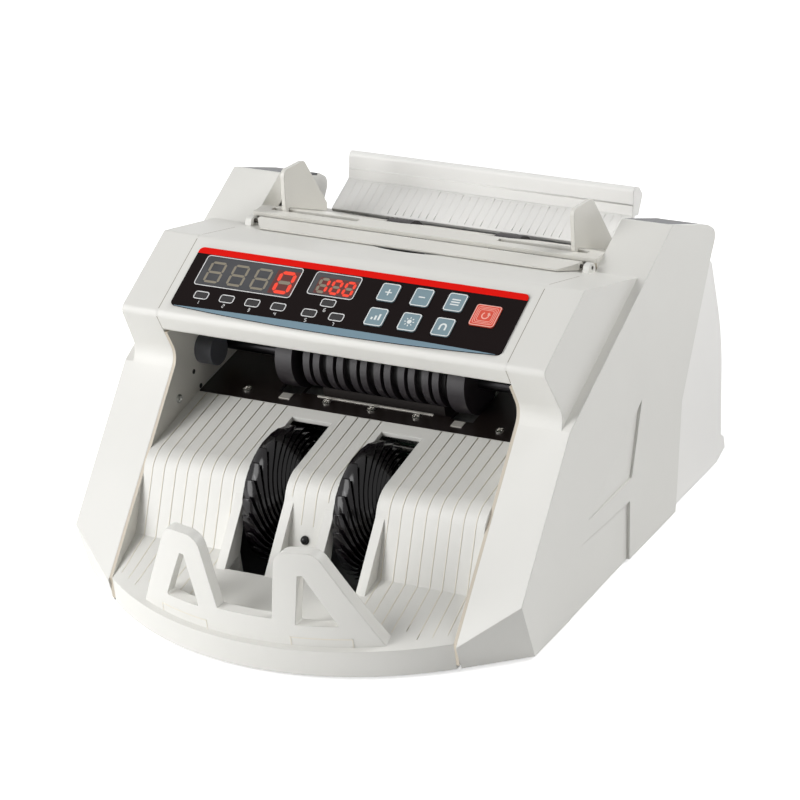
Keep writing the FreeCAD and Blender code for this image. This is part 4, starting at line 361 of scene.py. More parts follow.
def segments(x, t, width, height, thick):
    """Seven bars of one digit: long hexagons, laid or stood between the corners of an upright eight."""
    half = height / 2
    gap = thick * SEGMENT_GAP
    along = np.array([-1, -1, 1, 1, 1, -1], float)
    ends = np.array([(0, 0), (1, 1), (-1, 1), (0, 0), (-1, -1), (1, -1)], float) * thick / 2
    flat = np.outer(along, (width / 2 - gap, 0)) + ends
    tall = np.outer(along, (0, half / 2 - gap)) + ends[:, ::-1]
    places = {"a": (flat, 0, half), "g": (flat, 0, 0), "d": (flat, 0, -half),
              "b": (tall, width / 2, half / 2), "c": (tall, width / 2, -half / 2),
              "f": (tall, -width / 2, half / 2), "e": (tall, -width / 2, -half / 2)}
    return {name: shape + (x + dx, t + dt) for name, (shape, dx, dt) in places.items()}


DOME_FALL = 0.45
CROSS_HALF, CROSS_REACH, CROSS_DEPTH = 0.13, 0.62, 0.55


def pan_head(centre, axis, radius, height, steps=28, rings=12):
    """Domed screw head with a cross: a polar grid whose height follows a dome, less a cross-shaped dip.

    Height falls from h at the middle with the cube of r; where the smaller of |u| and |v| is under an arm's
    half width and the point is within the arms' reach, the cross sinks by its depth.
    """
    r = np.concatenate([np.linspace(0.02, 1, rings), [1.0]])
    u, v = r[:, None] * circle(steps).T[:, None]
    arm = (np.minimum(np.abs(u), np.abs(v)) < CROSS_HALF) & (np.hypot(u, v) < CROSS_REACH)
    level = height * (1 - DOME_FALL * r[:, None] ** 3) - arm * height * CROSS_DEPTH
    level[-1] = 0
    axis = Vector(axis).normalized()
    side = axis.orthogonal().normalized()
    other = axis.cross(side)
    rows = (np.array(centre) + np.multiply.outer(u * radius, side) + np.multiply.outer(v * radius, other)
            + np.multiply.outer(level, axis))
    return in_metres(loft(rows))


def rounded_path(a, b, c, radius, steps=9):
    """Points of a bent line: two straight runs joined by an arc of a radius that touches both."""
    a, b, c = (np.array(p, float) for p in (a, b, c))
    one, two = (a - b) / np.linalg.norm(a - b), (c - b) / np.linalg.norm(c - b)
    half = math.acos(one @ two) / 2
    centre = b + (one + two) / np.linalg.norm(one + two) * radius / math.sin(half)
    start, end = b + one * radius / math.tan(half) - centre, b + two * radius / math.tan(half) - centre
    share = np.linspace(0, 1, steps)[:, None]
    sweep = math.pi - 2 * half
    arc = (np.sin((1 - share) * sweep) * start + np.sin(share * sweep) * end) / math.sin(sweep)
    return np.concatenate([[a], centre + arc, [c]])


RIB_ACROSS = np.array([-0.5, -0.3, 0.0, 0.3, 0.5, 0.0])
RIB_OUTWARD = np.array([-0.05, 0.7, 1.0, 0.7, -0.05, -0.4])
RIB_FADE = 0.06


def rib(path, width, height, taper=(1.0, 1.0)):
    """Low ridge along a path in the machine's mm: a rounded hump of a profile, carried along the path.

    Across, the profile's points run from one foot over the crest to the other; outwards, they follow the
    path's normal in the side view, and the height may fade towards either end.
    """
    ahead = np.gradient(path, axis=0)
    normal = np.stack([np.zeros(len(path)), -ahead[:, 2], ahead[:, 1]], -1)
    normal /= np.linalg.norm(normal, axis=1, keepdims=True)
    normal *= np.sign(normal[:, 2:3] - normal[:, 1:2])
    share = np.linspace(0, 1, len(path))
    fade = np.interp(share, (0, RIB_FADE, 1 - RIB_FADE, 1), (taper[0], 1, 1, taper[1]))
    across = np.outer(RIB_ACROSS * width, (1.0, 0, 0))
    up = RIB_OUTWARD * height * fade[:, None]
    return in_metres(loft(path[:, None, :] + across + up[:, :, None] * normal[:, None, :]))


class COUNTER_OT_casing(bpy.types.Operator):
    """Finishes the outer mouldings: side covers, nose, tray and rear cover, with softly rounded edges"""
    bl_idname = "counter.casing"
    bl_label = "Casing"

    SEAM_X = 113.0
    SEAM = 0.45
    SEAM_PROUD = 0.04
    SEAM_RUNS = (((16.0, 166.82), (48.0, 156.36)), ((-38.3, 141.3), (-35.0, 132.2)))
    PANEL_SEAM_DOWN = 28.0
    PANEL_SEAM = 51.0
    PANEL_SEAM_LEVELS = (-0.05, 0.03)

    def execute(self, context):
        looks = context.scene.counter_casing
        # Injection-moulded ABS with a fine spark-eroded texture: an even, satin white with soft highlights.
        # The texture is about 0.1 mm and is drawn at 0.9 mm so that it shows.
        finish("left_side_cover right_side_cover display_housing stacker_tray",
               "moulded_abs_casing", looks.shell, 0.9, 0.03, 0.42, 0.02, edge=looks.edge, IOR=1.53)
        # Rear cover and hopper back in the same moulding, drawn a shade paler: painted light for the brighter
        # light falling on them.
        finish("rear_cover hopper_back_plate",
               "moulded_abs_rear", looks.rear, 0.9, 0.03, 0.42, 0.02, edge=looks.edge, IOR=1.53)
        # The same moulding process in dark grey, a little rougher, so the caps stay dull.
        finish("top_caps", "moulded_abs_caps", looks.cap, 0.9, 0.03, 0.5, 0.05, IOR=1.53)
        # Shade in the narrow gap where the nose meets the side covers.
        gap = grained("parting_line_shade", "#a39b90", 1.0, 0.01, 0.7, 0.1)
        panel = context.scene.counter_panel
        seams = []
        for x in (-self.SEAM_X, self.SEAM_X):
            line = bar(x, -self.PANEL_SEAM_DOWN, self.SEAM, self.PANEL_SEAM)
            seams.append(on_panel(prisms([line], *self.PANEL_SEAM_LEVELS), panel))
            for start, end in self.SEAM_RUNS:
                seams.append(rib(np.linspace((x, *start), (x, *end), 4), self.SEAM, self.SEAM_PROUD))
        piece("nose_seams", joined(seams), gap)
        return {"FINISHED"}


class COUNTER_OT_hopper(bpy.types.Operator):
    """Finishes the hopper: lid, floor, guides and the fine ribs of its back plate"""
    bl_idname = "counter.hopper"
    bl_label = "Hopper"

    RIB_PITCH = 5.2
    RIBS = 35
    RIB_RUN = ((0, 122.5, 137.5), (0, 142.0, 146.0))
    RIB_WIDTH = 0.6
    RIB_HEIGHT = 0.09
    BEAD_AT = (144.7, 152.2)
    BEAD = 0.5
    BEAD_HALF = 94.6

    def execute(self, context):
        looks = context.scene.counter_casing
        # Moulded ABS of the hopper, polished by passing notes: slightly glossier and warmer than the casing.
        finish("hopper_lid hopper_deck left_note_guide right_note_guide",
               "moulded_abs_hopper", looks.hopper, 0.9, 0.02, 0.36, 0.03, edge=looks.edge, IOR=1.53)
        # Blackened steel hinge pins: dark, with fine marks that blur the reflections.
        finish("lid_pins", "blackened_steel_pins", "#35302b", 0.3, 0.01, 0.4, 0.05, Metallic=0.6)
        # Crests of the hopper's fine ribs, of the same moulding as the back, a little worn by the notes.
        # They share the back's paler tone, which is painted light.
        worn_and_painted_light = grained("moulded_abs_hopper_ribs", looks.rear, 0.9, 0.01, 0.4, 0.03, IOR=1.53)
        path = np.linspace(*self.RIB_RUN, 4)
        places = (np.arange(self.RIBS) - (self.RIBS - 1) / 2) * self.RIB_PITCH
        ribs = [rib(path + (x, 0, 0), self.RIB_WIDTH, self.RIB_HEIGHT, (0, 0)) for x in places]
        piece("back_plate_ribs", joined(ribs), worn_and_painted_light, smooth=True)
        # The bead is a small circle carried straight across under the ridge.
        bead = carried_across(disc(*self.BEAD_AT, self.BEAD, 12), self.BEAD_HALF)
        piece("ridge_bead", bead, worn_and_painted_light, smooth=True)
        return {"FINISHED"}


class COUNTER_OT_chassis(bpy.types.Operator):
    """Finishes the chassis: painted side plates with bare edges, painted-shade holes and screws, base, rods
    and feet
    """
    bl_idname = "counter.chassis"
    bl_label = "Chassis"

    HOLES = ((-15.2, 94.9), (-10.8, 83.6))
    HOLE_RADIUS = 1.5
    HOLE_LEVELS = (-0.04, 0.3)
    SCREWS = ((-33.2, 86.6),)
    SCREW_RADIUS = 2.6
    SCREW_HEIGHT = 1.0
    COAT = 0.05

    def execute(self, context):
        looks = context.scene.counter_casing
        inner, outer = (corner.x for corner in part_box("right_chassis_plate"))
        dress(self.coated(looks, inner, outer), "left_chassis_plate", "right_chassis_plate")
        # Zinc-plated sheet: grey metal with a slow cloudy bloom from the plating bath.
        finish("base_plate cross_bars",
               "zinc_plated_sheet", "#a4a6a6", 4.0, 0.01, 0.45, 0.12, 15.0, Metallic=1.0)
        # Drawn steel rod: bright, with a tight gleam and faint marks.
        steel = finish("cross_rods", "drawn_steel_rod", "#b4b4b1", 0.4, 0.01, 0.28, 0.06, Metallic=1.0)
        # Blued shafts: nearly black, with a thin gleam along them.
        finish("feed_shaft impeller_shaft pickup_shaft",
               "blued_steel_shaft", "#262527", 0.4, 0.01, 0.3, 0.06, Metallic=0.8)
        # Sintered bronze: brown metal, dull from its open pores.
        finish("shaft_bushes", "sintered_bronze_bush", "#8a6a3c", 0.5, 0.02, 0.5, 0.1, Metallic=1.0)
        # Moulded rubber: black, dull and slightly dusty.
        finish("rubber_feet", "moulded_rubber_feet", "#232323", 1.0, 0.05, 0.75, 0.15, IOR=1.52)
        # The mouth of a punched hole, shown as a dark disc let into the cheek: painted shade where the hole's
        # depth lies in shadow.
        dark = grained("shaded_hole", "#15110f", 1.0, 0.01, 0.8, 0.1)
        mouth = np.insert(circle(20), 0, 0, 1) * self.HOLE_RADIUS
        holes, screws = [], []
        for side in (-1, 1):
            face = side * inner / MM
            for y, z in self.HOLES:
                rows = [mouth + (face + side * level, y, z) for level in self.HOLE_LEVELS]
                holes.append(in_metres(loft(np.stack(rows))))
            for y, z in self.SCREWS:
                screws.append(pan_head((face, y, z), (-side, 0, 0), self.SCREW_RADIUS, self.SCREW_HEIGHT))
        piece("cheek_holes", joined(holes), dark)
        piece("cheek_screws", joined(screws), steel)
        return {"FINISHED"}

    def coated(self, looks, inner, outer):
        """Finish of the side plates, whose cut edge is what lies deeper than the coat on either face."""
        # Powder-coated steel sheet: a smooth dull coat on both faces and a browned edge where it was cut.
        plate = grained("powder_coated_steel", looks.plate, 1.2, 0.03, 0.5, 0.02, IOR=1.5)
        tree = plate.node_tree
        base = tree.nodes["Principled BSDF"].inputs["Base Color"]
        place = add(tree, "ShaderNodeTexCoord").outputs["Object"]
        x = add(tree, "ShaderNodeSeparateXYZ", {"Vector": place}).outputs["X"]
        across = add(tree, "ShaderNodeMath", {0: x}, operation="ABSOLUTE").outputs["Value"]
        deep = {0: across, 1: (inner + outer) / 2, 2: (outer - inner) / 2 - self.COAT * MM}
        cut = add(tree, "ShaderNodeMath", deep, operation="COMPARE").outputs["Value"]
        parts = {"Factor": cut, "A": base.links[0].from_socket, "B": rgba(looks.plate_edge)}
        tree.links.new(add(tree, "ShaderNodeMix", parts, data_type="RGBA").outputs["Result"], base)
        return plate


class COUNTER_OT_panel_film(bpy.types.Operator):
    """Prints the panel film: dark ground, stripe, lower band and the outlines round windows and lamps"""
    bl_idname = "counter.panel_film"
    bl_label = "Panel film"

    WIDTH = 214.0
    TOP = 8.2
    BOTTOM = 50.3
    BOW = 3.2
    CORNER = 3.0
    THICK = 0.8
    SINK = 0.02
    STRIPE = 4.3
    CRESCENT_ENDS = 0.2
    CRESCENT_BOW = 1.4
    WINDOWS = ((-67.2, 23.6, 62.4, 19.6), (-11.6, 21.2, 28.4, 14.4))
    WINDOW_MARGIN = 1.2
    WINDOW_CORNER = 1.8
    LAMPS = ((-90.2, 40.9), (-73.1, 40.9), (-56.1, 40.9), (-39.0, 40.9),
             (-18.3, 41.8), (-9.9, 33.4), (-0.6, 41.8))
    LAMP_FRAME = (8.9, 4.9, 1.4)
    NUMERAL = (1.2, 2.2, 0.42)
    NUMERAL_DROP = 5.0

    def execute(self, context):
        panel = context.scene.counter_panel
        levels = self.THICK - self.SINK, self.THICK + panel.relief / MM
        # Polycarbonate film printed from behind, with a velvet face: near black, and its shine is broken up.
        finish("panel_overlay",
               "velvet_polycarbonate_film", panel.film, 0.7, 0.02, 0.4, 0.06, Specular_IOR_Level=0.06)
        # Screen-printed inks under the same velvet face: flat, even colour with little shine.
        red = grained("screen_ink_red", panel.stripe, 0.7, 0.02, 0.4, 0.03, Specular_IOR_Level=0.1)
        blue = grained("screen_ink_blue_grey", panel.crescent, 0.7, 0.02, 0.4, 0.03, Specular_IOR_Level=0.1)
        white = grained("screen_ink_white", panel.ink, 0.7, 0.01, 0.4, 0.03, IOR=1.58)
        piece("panel_stripe", on_panel(self.stripe(*levels), panel), red)
        piece("panel_crescent", on_panel(self.crescent(*levels), panel), blue)
        line = panel.outline / MM
        frames = [hoop(x, -down, width + self.WINDOW_MARGIN, height + self.WINDOW_MARGIN, self.WINDOW_CORNER,
                       line, *levels) for x, down, width, height in self.WINDOWS]
        frames += [hoop(x, -down, *self.LAMP_FRAME, line, *levels) for x, down in self.LAMPS]
        piece("panel_outlines", on_panel(joined(frames), panel), white)
        numerals = []
        for i, (x, down) in enumerate(self.LAMPS):
            bars = segments(x, -down - self.NUMERAL_DROP, *self.NUMERAL)
            numerals += [bars[name] for name in SEGMENTS[str(i + 1)]]
        piece("lamp_numerals", on_panel(prisms(numerals, *levels), panel), white)
        return {"FINISHED"}

    def stripe(self, low, high):
        """Band along the top edge: at each place across, from the band's foot to the film's rounded top."""
        share = np.linspace(0, 1, 9) ** 2 * self.CORNER
        x = np.concatenate([share, self.WIDTH - share[::-1]])
        inset = self.CORNER - np.minimum(np.minimum(x, self.WIDTH - x), self.CORNER)
        drop = self.CORNER - np.sqrt(np.maximum(self.CORNER ** 2 - inset ** 2, 0))
        foot = np.full_like(drop, -self.TOP - self.STRIPE)
        return self.band(x - self.WIDTH / 2, foot, -self.TOP - drop, low, high)

    def crescent(self, low, high):
        """Band along the bowed lower edge: at each place across, from that edge up to a flatter arc."""
        half = self.WIDTH / 2 - self.CORNER
        x = np.linspace(-half, half, 41)
        share = 1 - (x / half) ** 2
        foot = -self.BOTTOM - self.BOW * share
        top = -self.BOTTOM + self.CRESCENT_ENDS + self.CRESCENT_BOW * share
        return self.band(x, foot, top, low, high)

    @staticmethod
    def band(x, foot, top, low, high):
        """Flat band: at each place across, a rectangle from foot to top between two levels."""
        return between(np.stack([x, foot], -1), np.stack([x, top], -1), low, high)


class COUNTER_OT_displays(bpy.types.Operator):
    """Fills the two windows with seven-segment digits, lit and unlit"""
    bl_idname = "counter.displays"
    bl_label = "Displays"

    # Middle across and down, pitch, width, height and thickness of the digits, and what they show.
    MAIN = (-66.2, 24.3, 15.4, 9.0, 13.4, 1.5, "   0")
    BATCH = (-10.2, 22.3, 8.4, 5.2, 8.8, 1.15, "100")
    SPREAD = 1.5
    FOOT, HALO_TOP, BAR_TOP = 0.78, 0.81, 0.84

    def execute(self, context):
        panel = context.scene.counter_panel
        # Smoked acrylic: a dark grey pane with a clear, hard gloss.
        pane, tree, shader = surface("smoked_acrylic", Roughness=0.12, IOR=1.49)
        place = add(tree, "ShaderNodeTexCoord").outputs["Object"]
        haze = add(tree, "ShaderNodeTexNoise", {"Vector": place, "Scale": per_mm(14.0), "Detail": 1.0})
        ramp = add(tree, "ShaderNodeValToRGB", {"Fac": haze.outputs["Fac"]})
        for element, code in zip(ramp.color_ramp.elements, ("#2a2b2f", "#4b4c50")):
            element.color = rgba(linear(code))
        tree.links.new(ramp.outputs["Color"], shader.inputs["Base Color"])
        dress(pane, "display_windows")
        # The lamps' small panes and the blocks behind the glass: darker acrylic with the same gloss.
        finish("lamp_windows display_modules",
               "lamp_window_acrylic", "#1d191b", 3.0, 0.01, 0.2, 0.1, IOR=1.49)
        # Moulded light guides of the digits: dull tan while off, glowing orange-red while lit.
        off = grained("light_guide_unlit", panel.unlit, 1.0, 0.01, 0.45, 0.05, IOR=1.5)
        lit = surface("light_guide_lit", Roughness=0.4, IOR=1.5, Emission_Strength=0.95,
                      Emission_Color=rgba(panel.lit), Base_Color=rgba(linear("#300804")))[0]
        # Red light spilling into the pane round a lit digit.
        spill = surface("acrylic_in_red_light", Roughness=0.3, IOR=1.49, Emission_Strength=0.22,
                        Emission_Color=rgba(linear("#a0200c")), Base_Color=rgba(linear("#2c0f0c")))[0]
        on_bars, off_bars, halos = [], [], []
        for x, down, pitch, width, height, thick, show in (self.MAIN, self.BATCH):
            for i, digit in enumerate(show):
                middle = x + (i - (len(show) - 1) / 2) * pitch
                glows = digit in SEGMENTS
                if glows:
                    halos.append(bar(middle, -down, pitch, height + 2 * thick))
                bars = segments(middle, -down, width, height, thick * self.SPREAD if glows else thick)
                for name, outline in bars.items():
                    (on_bars if name in SEGMENTS.get(digit, "") else off_bars).append(outline)
        for name, outlines, top, material in (
                ("digit_halos", halos, self.HALO_TOP, spill), ("digits_off", off_bars, self.BAR_TOP, off),
                ("digits_lit", on_bars, self.BAR_TOP, lit)):
            piece(name, on_panel(prisms(outlines, self.FOOT, top), panel), material)
        return {"FINISHED"}


class COUNTER_OT_keys(bpy.types.Operator):
    """Finishes the seven keys, each with its light rim and a plain mark"""
    bl_idname = "counter.keys"
    bl_label = "Keys"

    PLACES = {
        "key_plus": (23.4, 20.8), "key_minus": (44.7, 20.8), "key_batch": (66.0, 20.8),
        "key_add": (23.4, 38.0), "key_lamp": (44.7, 38.0), "key_magnet": (66.0, 38.0),
    }
    RESTART = (87.4, 26.6)
    TOP = 1.4
    SINK = 0.02
    CORNER = 1.3
    RIM = (11.0, 11.4)
    RIM_LINE = 0.6
    RESTART_RIM = (15.0, 13.6)
    # How far each rim of the red key lies inside the first, and its line.
    RESTART_LINES = ((0, 0.5), (1.3, 0.28), (2.2, 0.28), (3.1, 0.28))
    RESTART_LOOP = (1.7, 2.4, 120, 420)
    RESTART_ARROW = np.array([(1.1, 0.3), (3.1, 0.5), (1.8, 2.4)])
    # Bars of each sign: across, up, width and height.
    BARS = {
        "key_plus": ((0, 0, 4.2, 0.8), (0, 1.25, 0.8, 1.7), (0, -1.25, 0.8, 1.7)),
        "key_minus": ((0, 0, 4.0, 0.8),),
        "key_batch": ((0, -1.7, 5.4, 0.8), (0, 0, 5.4, 0.8), (0, 1.7, 5.4, 0.8)),
        "key_add": ((-2.2, -1.3, 1.2, 1.6), (0, -0.65, 1.2, 2.9), (2.2, 0, 1.2, 4.2)),
        "key_lamp": (),
        "key_magnet": ((-1.75, -1.0, 1.1, 2.3), (1.75, -1.0, 1.1, 2.3)),
    }
    LAMP_RADIUS = 1.4
    LAMP_RAY = (2.6, 0, 1.0, 0.6)
    MAGNET_ARC = (1.2, 2.3, 0, 180)
    MAGNET_RISE = 0.15

    def execute(self, context):
        panel = context.scene.counter_panel
        # Moulded silicone-feel key caps: matt blue-grey, with a printed light rim.
        cap = grained("matt_key_cap", panel.key, 0.8, 0.02, 0.5, 0.03, IOR=1.45)
        red = grained("matt_key_cap_red", panel.restart, 0.8, 0.02, 0.5, 0.05, IOR=1.45)
        # Inks printed on the caps: thin, pale and as matt as the caps.
        ink = grained("key_ink_white", "#e9edec", 0.8, 0.01, 0.45, 0.03, IOR=1.5)
        pale = grained("key_ink_pale_red", "#f6c0b2", 0.8, 0.01, 0.45, 0.03, IOR=1.5)
        levels = self.TOP - self.SINK, self.TOP + panel.relief / MM
        for name, (x, down) in self.PLACES.items():
            dress(cap, name)
            rim = hoop(x, -down, *self.RIM, self.CORNER, self.RIM_LINE, *levels)
            marks = [prisms([outline + (x, -down)], *levels) for outline in self.mark(name)]
            piece(name + "_print", on_panel(joined([rim] + marks), panel), ink, name + "_cap")
        dress(red, "key_restart")
        x, down = self.RESTART
        width, height = self.RESTART_RIM
        rims = [hoop(x, -down, width - 2 * inside, height - 2 * inside, self.CORNER, line, *levels)
                for inside, line in self.RESTART_LINES]
        loop = (arc_band(x, -down, *self.RESTART_LOOP), self.RESTART_ARROW + (x, -down))
        marks = [prisms([outline], *levels) for outline in loop]
        piece("key_restart_print", on_panel(joined(rims + marks), panel), pale, "key_restart_cap")
        return {"FINISHED"}

    def mark(self, name):
        """Plain signs about the key's middle: plus, minus, bars, a stair, a rayed lamp and a horseshoe."""
        bars = [bar(*place) for place in self.BARS[name]]
        if name == "key_lamp":
            ray = bar(*self.LAMP_RAY)
            turns = [np.array([(c, s), (-s, c)]) for c, s in circle(8)]
            return [disc(0, 0, self.LAMP_RADIUS)] + [ray @ turn for turn in turns]
        if name == "key_magnet":
            return [arc_band(0, self.MAGNET_RISE, *self.MAGNET_ARC)] + bars
        return bars


class COUNTER_OT_tray_ribs(bpy.types.Operator):
    """Runs fine ribs over the stacker's hump and down its floor, and finishes the sensor lens"""
    bl_idname = "counter.tray_ribs"
    bl_label = "Tray ribs"

    HALF = 111.0
    RADIUS = 190.0
    CENTRE_Y = 33.5
    LIP_Z = 17.5
    REAR = (-14.0, 81.5)
    CORNER = (-71.5, 71.4)
    FOOT = (-93.0, 31.0)
    ROUND = 18.0
    FACE_LEAN = 28.0
    FULL = range(6, 14)
    # Ribs between the wheels, and the height at which each ends.
    SHORT = ((0, 50.0), (1, 63.0))
    # How far a floor rib stops short of the lip behind the stops and beside them.
    STOPS_HALF = 86.0
    KEEP_STOPS, KEEP_SIDES = 14.0, 7.0
    FENCE_RADIUS = 186.5
    FRAME_LEVELS = (-0.1, 0.2)
    FRAMES = ((27.0, 63.0, 23.0, 23.6), (27.0, 27.6, 17.8, 23.6), (62.4, 63.0, 17.8, 23.6))

    def execute(self, context):
        detail = context.scene.counter_stacker
        width, height, pitch = detail.rib_width / MM, detail.rib_height / MM, detail.rib_pitch / MM
        over = rounded_path(self.REAR, self.CORNER, self.FOOT, self.ROUND)
        over = np.insert(over, 0, 0, 1)
        ribs = []
        for k in self.FULL:
            for side in (-1, 1):
                x = side * (k + 0.5) * pitch
                ribs.append(rib(np.concatenate([over + (x, 0, 0), self.floor(x)]), width, height, (1, 0)))
        for k, drop in self.SHORT:
            last = self.FOOT[0] + math.tan(math.radians(self.FACE_LEAN)) * (drop - self.FOOT[1])
            short = np.concatenate([over[over[:, 2] > drop], [(0, last, drop)]])
            for side in (-1, 1):
                ribs.append(rib(short + (side * (k + 0.5) * pitch, 0, 0), width, height, (1, 0)))
        # The ribs are part of the tray's moulding, a touch duller where notes rub the crests. Their warmer
        # beige than the casing is painted shade for the thin shadows along the ribs, and the stop frames share
        # it.
        rib_beige_shade = grained("moulded_abs_ribs", "#e9e4d8", 0.9, 0.02, 0.45, 0.03, IOR=1.53)
        piece("tray_ribs", joined(ribs), rib_beige_shade, smooth=True)
        frames = [self.fence_bar(side, *part) for side in (-1, 1) for part in self.FRAMES]
        piece("stop_frames", joined(frames), rib_beige_shade)
        # Moulded black epoxy lens: deep black with one sharp glint.
        finish("stacker_sensor", "black_epoxy_lens", "#07070a", 2.0, 0.005, 0.1, 0.1, Specular_IOR_Level=0.3)
        return {"FINISHED"}

    def fence_bar(self, side, start, end, low, high):
        """Raised bar on the stops' round front: a rectangle carried along the arc, measured in mm of arc."""
        turn = side * np.linspace(start, end, 13) / self.FENCE_RADIUS
        way = np.stack([np.sin(turn), -np.cos(turn)], -1)
        inner, outer = (way * (self.FENCE_RADIUS + out) + (0, self.CENTRE_Y) for out in self.FRAME_LEVELS)
        return in_metres(between(inner, outer, low, high))

    def floor(self, x):
        """Straight line of the ruled floor from the hump's foot towards the round lip.

        The lip's point has the same share of the lip's angle as the foot's point has of the half width.
        """
        reach = math.asin(self.HALF / self.RADIUS) * x / self.HALF
        depth = self.CENTRE_Y - self.RADIUS * math.cos(reach)
        lip = np.array((self.RADIUS * math.sin(reach), depth, self.LIP_Z))
        foot = np.array((x, *self.FOOT))
        keep = self.KEEP_STOPS if abs(x) < self.STOPS_HALF else self.KEEP_SIDES
        end = lip + (foot - lip) * keep / np.linalg.norm(foot - lip)
        return np.linspace(foot, end, 5)[1:]


class COUNTER_OT_note_path(bpy.types.Operator):
    """Finishes the guide plate with its screws, the leaf tabs, the friction pad and the side sensors"""
    bl_idname = "counter.note_path"
    bl_label = "Note path"

    REAR = (-13.4, 81.6)
    LEAN = math.radians(6.7)
    SCREW_X = (-83.0, -29.5, 0.0, 29.5, 83.0)
    SCREW_Y = -5.0
    SCREW_HEIGHT = 1.1
    STRIP_Y = -0.9
    STRIP_HALF = 38.0
    STRIP_WIDTH = 1.0
    STRIP_HEIGHT = 0.5

    def execute(self, context):
        detail = context.scene.counter_stacker
        # Black anodised aluminium sheet: dark, with a soft metallic sheen.
        finish("guide_plate", "black_anodised_sheet", "#17110f", 0.8, 0.01, 0.32, 0.1, IOR=1.6)
        # Rolled spring steel: pale and bright, as thin leaves that catch the light.
        spring = finish("spring_tabs", "spring_steel_leaf", "#dedad2", 0.5, 0.01, 0.3, 0.06, Metallic=0.5)
        # Pressed cork and rubber: dark and quite dull, with coarse crumbs.
        finish("separator_pad", "cork_rubber_pad", "#211b19", 1.5, 0.05, 0.8, 0.2)
        # Moulded grey ABS of the sensor housings: a bluish grey with some gloss.
        finish("side_sensors", "moulded_grey_sensor", "#55565c", 1.0, 0.02, 0.35, 0.06, IOR=1.53)
        # Nickel-plated pan heads, bright on the dark plate.
        nickel = grained("nickel_plated_screw", "#c9c6c0", 0.6, 0.01, 0.25, 0.06, Metallic=1.0)
        axis = (0, -math.sin(self.LEAN), math.cos(self.LEAN))
        radius, z = detail.screw_radius / MM, self.plate_z(self.SCREW_Y)
        heads = [pan_head((x, self.SCREW_Y, z), axis, radius, self.SCREW_HEIGHT) for x in self.SCREW_X]
        piece("guide_plate_screws", joined(heads), nickel)
        piece("roller_strip", self.strip(), spring)
        return {"FINISHED"}

    def plate_z(self, y):
        """Height of the leaning plate at a depth."""
        return self.REAR[1] + (y - self.REAR[0]) * math.tan(self.LEAN)

    def strip(self):
        """Flat bar on the plate: a section that leans with the plate, carried straight across."""
        y = self.STRIP_Y + np.array((-0.5, 0.5, 0.5, -0.5)) * self.STRIP_WIDTH
        section = np.stack([y, self.plate_z(y) + np.array((0, 0, 1, 1)) * self.STRIP_HEIGHT], -1)
        return carried_across(section, self.STRIP_HALF)


class COUNTER_OT_rollers(bpy.types.Operator):
    """Finishes the rubber rings, wheels and rollers that feed the notes"""
    bl_idname = "counter.rollers"
    bl_label = "Rollers"

    def execute(self, context):
        detail = context.scene.counter_stacker
        # Ground rubber: dark grey with a faint sheen that the fine grinding breaks up.
        finish("feed_roller_rings feed_wheels pickup_rollers",
               "ground_rubber", detail.rubber, 0.8, 0.05, 0.5, 0.1, IOR=1.52)
        # Moulded acetal: black and slightly waxy.
        finish("feed_roller_core", "moulded_acetal_core", "#141213", 1.0, 0.02, 0.4, 0.08, IOR=1.48)
        return {"FINISHED"}


class COUNTER_OT_stacker_wheels(bpy.types.Operator):
    """Makes the two stacker wheels of thin swept leaves round their hubs"""
    bl_idname = "counter.stacker_wheels"
    bl_label = "Stacker wheels"

    AXIS = np.array((-50.0, 46.0))
    WHEEL_X = 29.5
    WIDTH = 21.6
    TAPER = 12.0
    TIP = 2.5
    TIP_FROM = 0.85
    LEAVES = 24
    # Radius and angle of a leaf at its root, middle and tip, and its thickness at root and tip.
    RADII = np.array((8.2, 26.0, 39.3))
    SWEEP = np.array((-3.0, -80.0, -160.0))
    THICK = (1.0, 0.7)
    BORE = 3.05
    RIM = 9.0

    def execute(self, context):
        detail = context.scene.counter_stacker
        # Injection-moulded soft vinyl: jet black with a wet gloss on the swept blades.
        vinyl = finish("impeller_wheels",
                       "glossy_moulded_vinyl", detail.blade, 3.0, 0.04, 0.15, 0.1, Specular_IOR_Level=0.32)
        shapes = []
        for x in (-self.WHEEL_X, self.WHEEL_X):
            shapes += [self.leaf(x, 360.0 * i / self.LEAVES) for i in range(self.LEAVES)] + [self.hub(x)]
        wheels = piece("stacker_wheel_leaves", joined(shapes), vinyl, "impeller", smooth=True)
        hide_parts("impeller_wheels")
        return {"FINISHED"}

    def leaf(self, x, turn):
        """One thin leaf carried outwards from the hub on a swept path.

        Radius and angle are the parabolas through the leaf's root, middle and tip; the section is a thin
        rectangle that narrows towards the tip, mostly on its right side, so the right edges nest.
        """
        share = np.linspace(0, 1, 21)
        bend = np.stack([(1 - share) * (1 - 2 * share), 4 * share * (1 - share), share * (2 * share - 1)])
        radius = self.RADII @ bend
        swept = np.radians(self.SWEEP @ bend + turn)
        half = np.interp(share, (0, 1), self.THICK) / 2
        tip = self.TIP * np.clip((share - self.TIP_FROM) / (1 - self.TIP_FROM), 0, 1) ** 2
        left = x - self.WIDTH / 2 + tip
        right = x + self.WIDTH / 2 - self.TAPER * share ** 2 - tip
        rows = []
        for across, step in ((left, -half), (right, -half), (right, half), (left, half)):
            turned = swept + step / radius
            y, z = self.AXIS[:, None] + radius * np.stack([np.cos(turned), np.sin(turned)])
            rows.append(np.stack([across, y, z], -1))
        return in_metres(loft(np.stack(rows, 1)))

    def hub(self, x):
        """Tube round the shaft: a rectangle from bore to rim, carried round the axis."""
        bore, rim = (disc(*self.AXIS, radius, 36) for radius in (self.BORE, self.RIM))
        points, faces = between(bore, rim, x - self.WIDTH / 2, x + self.WIDTH / 2, True)
        return in_metres((np.roll(points, 1, 1), faces))


